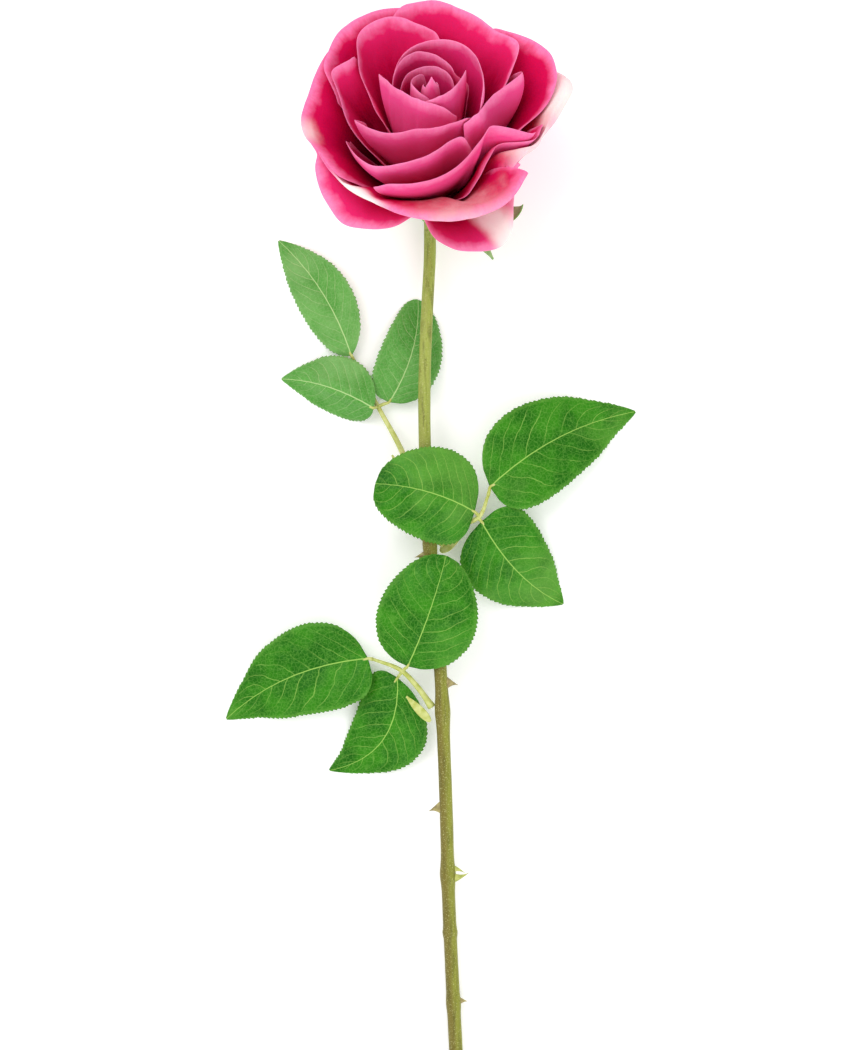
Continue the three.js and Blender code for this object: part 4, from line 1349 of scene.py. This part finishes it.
@dataclass(frozen=True)
class Blade:
    """A leaflet: its foot and tip, and how it is bent.

    Bow is how far its midrib bends left of the straight line, arch how far it rises above it, fold the angle
    of each half above flat and roll how far it leans. The lower ovate is the nearer the foot it is widest, and
    the lower blunt is the rounder its ends. Drawn narrows the tip to a long point and lobe rounds the base
    past the foot.
    """

    foot: Triple
    tip: Triple
    width: float
    bow: float = 0.0
    arch: float = 0.0
    fold: float = 0.0
    roll: float = 0.0
    ovate: float = 0.7
    blunt: float = 0.68
    drawn: float = 0.0
    lobe: float = 0.0


@dataclass(frozen=True)
class LeafShape:
    """A whole leaf: its stalk, the stipule at its foot and its leaflets."""

    name: str
    stalk: tuple[Triple, ...]
    stipule: Blade
    leaflets: tuple[Blade, ...]


LEAVES: tuple[LeafShape, ...] = (
    LeafShape(
        "upper",
        ((-3.8, 13, 10.4), (-10.4, 29.4, 7.8), (-18.6, 44.5, 4.6), (-28, 62.5, 2.6)),
        Blade((-5, 10.5, 8), (-13.4, 26.5, 5.6), 2.2),
        (
            Blade((-28.9, 64.4, 3.2), (-56.4, 107.8, -2.5), 10.6, -3.4, 4, 8, -14, 0.8, 0.68, 0.2),
            Blade((-20.4, 44.2, 8.4), (-55.4, 55.4, -1), 12.8, -2.4, 4, -28, -18, 0.7, 0.68, 0.3),
            Blade((-14.4, 46.6, 4.4), (-3.6, 85.5, -2), 11.6, -3.2, 3, 4, 0, 0.7, 0.5),
        ),
    ),
    LeafShape(
        "middle",
        ((4.3, -7.4, 12.6), (10.5, -1.2, 13.2), (19.5, 3.2, 14.2), (22.8, 11, 13.6)),
        Blade((4.8, -10.2, 10.4), (13, -3.4, 10.8), 2),
        (
            Blade((17.6, 5, 16.2), (-19.5, 15.5, 18.6), 17.6, -2.4, 5, -8, 3, 0.74, 0.4),
            Blade((23.6, 14.4, 13), (78.8, 43, -6), 17.6, 4.6, 2.5, 6, -2, 0.56, 0.68, 0.35),
            Blade((20.4, 1.2, 13.4), (51.4, -30, -4), 16.6, -3.6, 4, -6, 4, 0.56, 0.68, 0.3),
        ),
    ),
    LeafShape(
        "lower",
        ((1.6, -68.6, 9.4), (-3.8, -61, 11), (-10.2, -54.6, 12), (-20.6, -50.6, 9.4)),
        Blade((1.2, -74.2, 10), (-8, -64.6, 10.4), 1.7),
        (
            Blade((-22.6, -50.4, 8.2), (-76.3, -73.5, -5), 17, -5, 3, 5, 2, 0.56, 0.68, 0.35),
            Blade((-7.4, -53, 15.2), (7, -11.6, 19.4), 18.4, -1, 6, -4, 0, 0.85, 0.5),
            Blade((-11.4, -57.8, 7.8), (-37.1, -93.1, -3), 14.8, 9.4, 3, -6, 4, 0.6, 0.68, 0.3),
        ),
    ),
)


@dataclass
class Leaves:
    """The three compound leaves.

    Teeth is how far apart a margin's teeth stand and tooth how far they reach. Quilt is how high the blade
    stands between its veins and groove how deep the midrib lies.
    """

    thickness: float = 0.35
    cad_thickness: float = 0.7
    stations: int = 110
    across: int = 26
    teeth: float = 1.6
    tooth: float = 0.8
    quilt: float = 0.32
    groove: float = 0.35
    stalk_base: float = 1.3
    stalk_tip: float = 0.6

    @staticmethod
    def spread(count: int) -> np.ndarray:
        """Places across a blade from -1 to 1, closer together at the midrib and the margins."""
        even = np.linspace(-1, 1, count + 1)
        return np.sign(even) * (0.62 * np.abs(even) ** 1.35 + 0.38 * np.sin(np.abs(even) * math.pi / 2))

    def toothing(self, run: np.ndarray, half: np.ndarray, share: np.ndarray, seed: float) -> np.ndarray:
        """How far a margin's teeth stand out.

        Args:
            run: How far along the midrib each station is.
            half: The blade's half width there.
            share: How far along the blade it is, from 0 to 1.
            seed: Where the first tooth starts.

        Returns:
            A length for each station.
        """
        saw = 1 - (run / self.teeth + 0.5 * (seed % 1)) % 1
        return self.tooth * saw * (smoothstep(half, 2.0, 5.0) * smoothstep(share, 0.03, 0.1))

    def surface(
        self, blade: Blade, stations: int, across: int, seed: float, toothed: bool
    ) -> tuple[Places, dict[str, np.ndarray]]:
        """Works out a blade's places and the values that its finish reads.

        Args:
            blade: The blade's shape.
            stations: Steps along it.
            across: Steps across it.
            seed: Which small waves it has.
            toothed: Whether its margin has teeth.

        Returns:
            Its places, and its along, across and rib values.
        """
        start, end = np.array(blade.foot, float), np.array(blade.tip, float)
        chord = end - start
        left = unit(np.cross(UP, chord))
        rise = unit(np.cross(chord, left))
        share = np.linspace(0, 1, stations + 1)
        side = self.spread(across)
        far = np.abs(side)
        bend = 4 * share * (1 - share)
        middle = start + share[:, None] * chord + (blade.bow * bend)[:, None] * left
        middle = middle + (blade.arch * bend)[:, None] * rise
        swell = np.maximum(np.sin(math.pi * share**blade.ovate), 0) ** blade.blunt
        swell = swell * (1 - blade.drawn * smoothstep(share, 0.62, 0.95) * (1 - 0.3 * share))
        half = np.maximum(blade.width * swell, 0.45)
        run = run_along(middle)
        lean = np.radians(np.clip(side * 3, -1, 1)[None, :] * blade.fold - blade.roll)
        out = side[None, :] * half[:, None]
        if toothed:
            teeth = self.toothing(run, half, share, seed)
            out = out + np.sign(side)[None, :] * teeth[:, None] * (far > 0.995)[None, :]
        slope = VEINS.lean * far + VEINS.curve * far**3
        phase = (share[:, None] - slope[None, :]) * VEINS.count + VEINS.apart * (side > 0)[None, :]
        quilt = 0.5 - 0.5 * np.cos(2 * math.pi * (phase - 0.5))
        wide = np.minimum(half / 10, 1)[:, None]
        inner = (1 - smoothstep(far, 0.8, 1.0))[None, :]
        groove = np.exp(-((out / 0.9) ** 2))
        lift = wide * inner * self.quilt * (quilt**0.7 - 0.6) - self.groove * groove * wide
        lift = lift - 0.03 * half[:, None] * side[None, :] ** 2
        grid = np.stack([np.repeat(run[:, None], len(side), 1), out], -1)
        lift = lift + waves(grid, 15.0, seed) * 1.1 * far[None, :] ** 1.5 * wide
        places = middle[:, None] - left * (out * np.cos(lean))[..., None]
        places = places + rise * (out * np.sin(lean) + lift)[..., None]
        pull = blade.lobe * far[None, :] ** 1.5 * ((1 - share) ** 8)[:, None]
        places = on_table(places - unit(chord) * pull[..., None], self.cad_thickness / 2, 0.5)
        rib = np.abs(out) / (0.25 + 0.5 * (1 - share))[:, None]
        return places, {"along": share[:, None], "across": side[None, :], "rib": rib}

    def leaflet(self, name: str, node: str, blade: Blade, finishes: Sequence[Material], seed: float) -> None:
        """Models one leaflet with toothed margins and raised cushions between its veins.

        Args:
            name: The piece's name.
            node: The CAD node that it stands for.
            blade: Its shape.
            finishes: The finishes of its face and its underside.
            seed: Which small waves it has.
        """
        places, values = self.surface(blade, self.stations, self.across, seed, True)
        piece = Bench.sheet(name, places, finishes, **values)
        Bench.thicken(piece, self.thickness)
        Bench.finish(piece, Slot.LEAF, node)

    def stalk(self, shape: LeafShape, finish: Material) -> None:
        """Models a leaf's stalk and its stipule.

        Args:
            shape: The leaf.
            finish: Their material.
        """
        path = smooth_path(shape.stalk, 40)
        share = np.linspace(0, 1, len(path))
        radii = self.stalk_base + (self.stalk_tip - self.stalk_base) * share
        radii = radii * (1 + 0.25 * np.exp(-((share / 0.08) ** 2)))
        piece = Bench.sheet(f"leaf_{shape.name}_stalk", Bench.tube(path, radii, 14), (finish,))
        Bench.close(piece)
        Bench.finish(piece, Slot.STALK, f"leaf_stalk_{shape.name}")
        places, _ = self.surface(shape.stipule, 30, 8, 3.0, False)
        wing = Bench.sheet(f"leaf_{shape.name}_stipule", places, (finish,))
        Bench.thicken(wing, 0.6, 0)
        Bench.subdivide(wing, 1)
        Bench.finish(wing, Slot.STALK, f"stipule_{shape.name}")

    def petiolule(self, shape: LeafShape, number: int, finish: Material) -> None:
        """Models the short stalk between a leaf's stalk and one leaflet.

        Args:
            shape: The leaf.
            number: The leaflet's number in it.
            finish: The stalk's material.
        """
        path = smooth_path(shape.stalk, 40)
        foot = np.array(shape.leaflets[number - 1].foot, float)
        tip = np.array(shape.leaflets[number - 1].tip, float)
        near = path[int(np.argmin(np.linalg.norm(path - foot, axis=1)))]
        points = (near, (near + foot) / 2 + UP * 0.2, foot, foot + unit(tip - foot) * 2.0)
        way = smooth_path(points, 14)
        places = Bench.tube(way, np.linspace(0.75, 0.42, len(way)), 12)
        piece = Bench.sheet(f"leaf_{shape.name}_petiolule_{number}", places, (finish,))
        Bench.close(piece)
        Bench.finish(piece, Slot.STALK)

    def build(self) -> None:
        """Builds all three leaves."""
        face = LeafFinish("leaf_face").make()
        under = LeafFinish("leaf_underside", "#6d9f4c", "#5b8f3b", "#8bb568", "#b8d08c", 0.55).make()
        # The upper leaf gets a lighter copy of the leaf face: painted sheen, standing in for the light on that
        # leaf.
        pale = LeafFinish("leaf_face_painted_sheen", "#5b9c45", "#458a30", "#86b56c", "#bcd894").make()
        stalk = FleshFinish("leaf_stalk_skin", "#a9b24a", "#c9ce82", 400.0).make()
        seed = 1.3
        for shape in LEAVES:
            self.stalk(shape, stalk)
            for number, blade in enumerate(shape.leaflets, 1):
                seed += 2.37
                finishes = (pale if shape.name == "upper" else face, under)
                name = f"leaf_{shape.name}_leaflet_{number}"
                self.leaflet(name, f"leaflet_{shape.name}_{number}", blade, finishes, seed)
                self.petiolule(shape, number, stalk)


# ---- The table, the light and the camera ----


@dataclass
class Studio:
    """A pale table under soft light, seen from straight above."""

    height: float = 1.66
    lens: float = 150.0
    sensor: float = 36.0
    table: str = "#fbfbfa"
    grain: str = "#fdfdfc"
    air: float = 0.8

    def floor(self) -> None:
        """Lays the table."""
        Bench.clear()
        bpy.ops.mesh.primitive_plane_add(size=8, location=(0, 0, 0))
        floor = bpy.context.object
        floor.name = "studio_table"
        # The table glows faintly: painted light that lifts the shadows on it and throws some light up under
        # the rose.
        painted_table_glow = {"Emission_Color": (1.0, 1.0, 1.0, 1.0), "Emission_Strength": 0.16}
        board = NodeBoard("studio_table_top", 0.9, **painted_table_glow)
        grain = board.patches(40, 2.0, 0.3, 0.7)
        floor.data.materials.append(board.color(board.mix(grain, self.table, self.grain)))

    def light(self, name: str, place: Triple, size: float, power: float) -> None:
        """Hangs one soft square light that points at the rose.

        Args:
            name: The light's name.
            place: Where it hangs, in metres.
            size: The length of its side.
            power: Its power in watts.
        """
        lamp = bpy.data.lights.new(name, "AREA")
        lamp.shape = "SQUARE"
        lamp.size = size
        lamp.energy = power
        holder = bpy.data.objects.new(name, lamp)
        holder.location = place
        holder.rotation_euler = (-Vector(place)).to_track_quat("-Z", "Y").to_euler()
        bpy.context.scene.collection.objects.link(holder)

    def build(self) -> None:
        """Sets the table, the lights, the air and the camera."""
        self.floor()
        scene = bpy.context.scene
        scene.view_settings.view_transform = "Standard"
        world = bpy.data.worlds.new("studio_air")
        world.use_nodes = True
        air = world.node_tree.nodes["Background"]
        air.inputs["Color"].default_value = linear("#ffffff")
        air.inputs["Strength"].default_value = self.air
        scene.world = world
        self.light("studio_key", (-0.7, 0.75, 1.3), 1.1, 12.0)
        self.light("studio_fill", (0.5, -0.95, 1.05), 1.2, 9.0)
        camera = bpy.data.objects.new("studio_camera", bpy.data.cameras.new("studio_camera"))
        camera.data.sensor_fit = "VERTICAL"
        camera.data.sensor_height = self.sensor
        camera.data.lens = self.lens
        camera.data.clip_end = 20.0
        camera.location = (SHIFT[0] * MM, SHIFT[1] * MM, self.height + SHIFT[2] * MM)
        scene.collection.objects.link(camera)
        scene.camera = camera


def main() -> None:
    """Builds the rose and the studio around it."""
    logging.basicConfig(level=logging.INFO, format="%(name)s %(message)s")
    Bloom().build()
    Stem().build()
    Leaves().build()
    Studio().build()


if __name__ == "__main__":
    main()
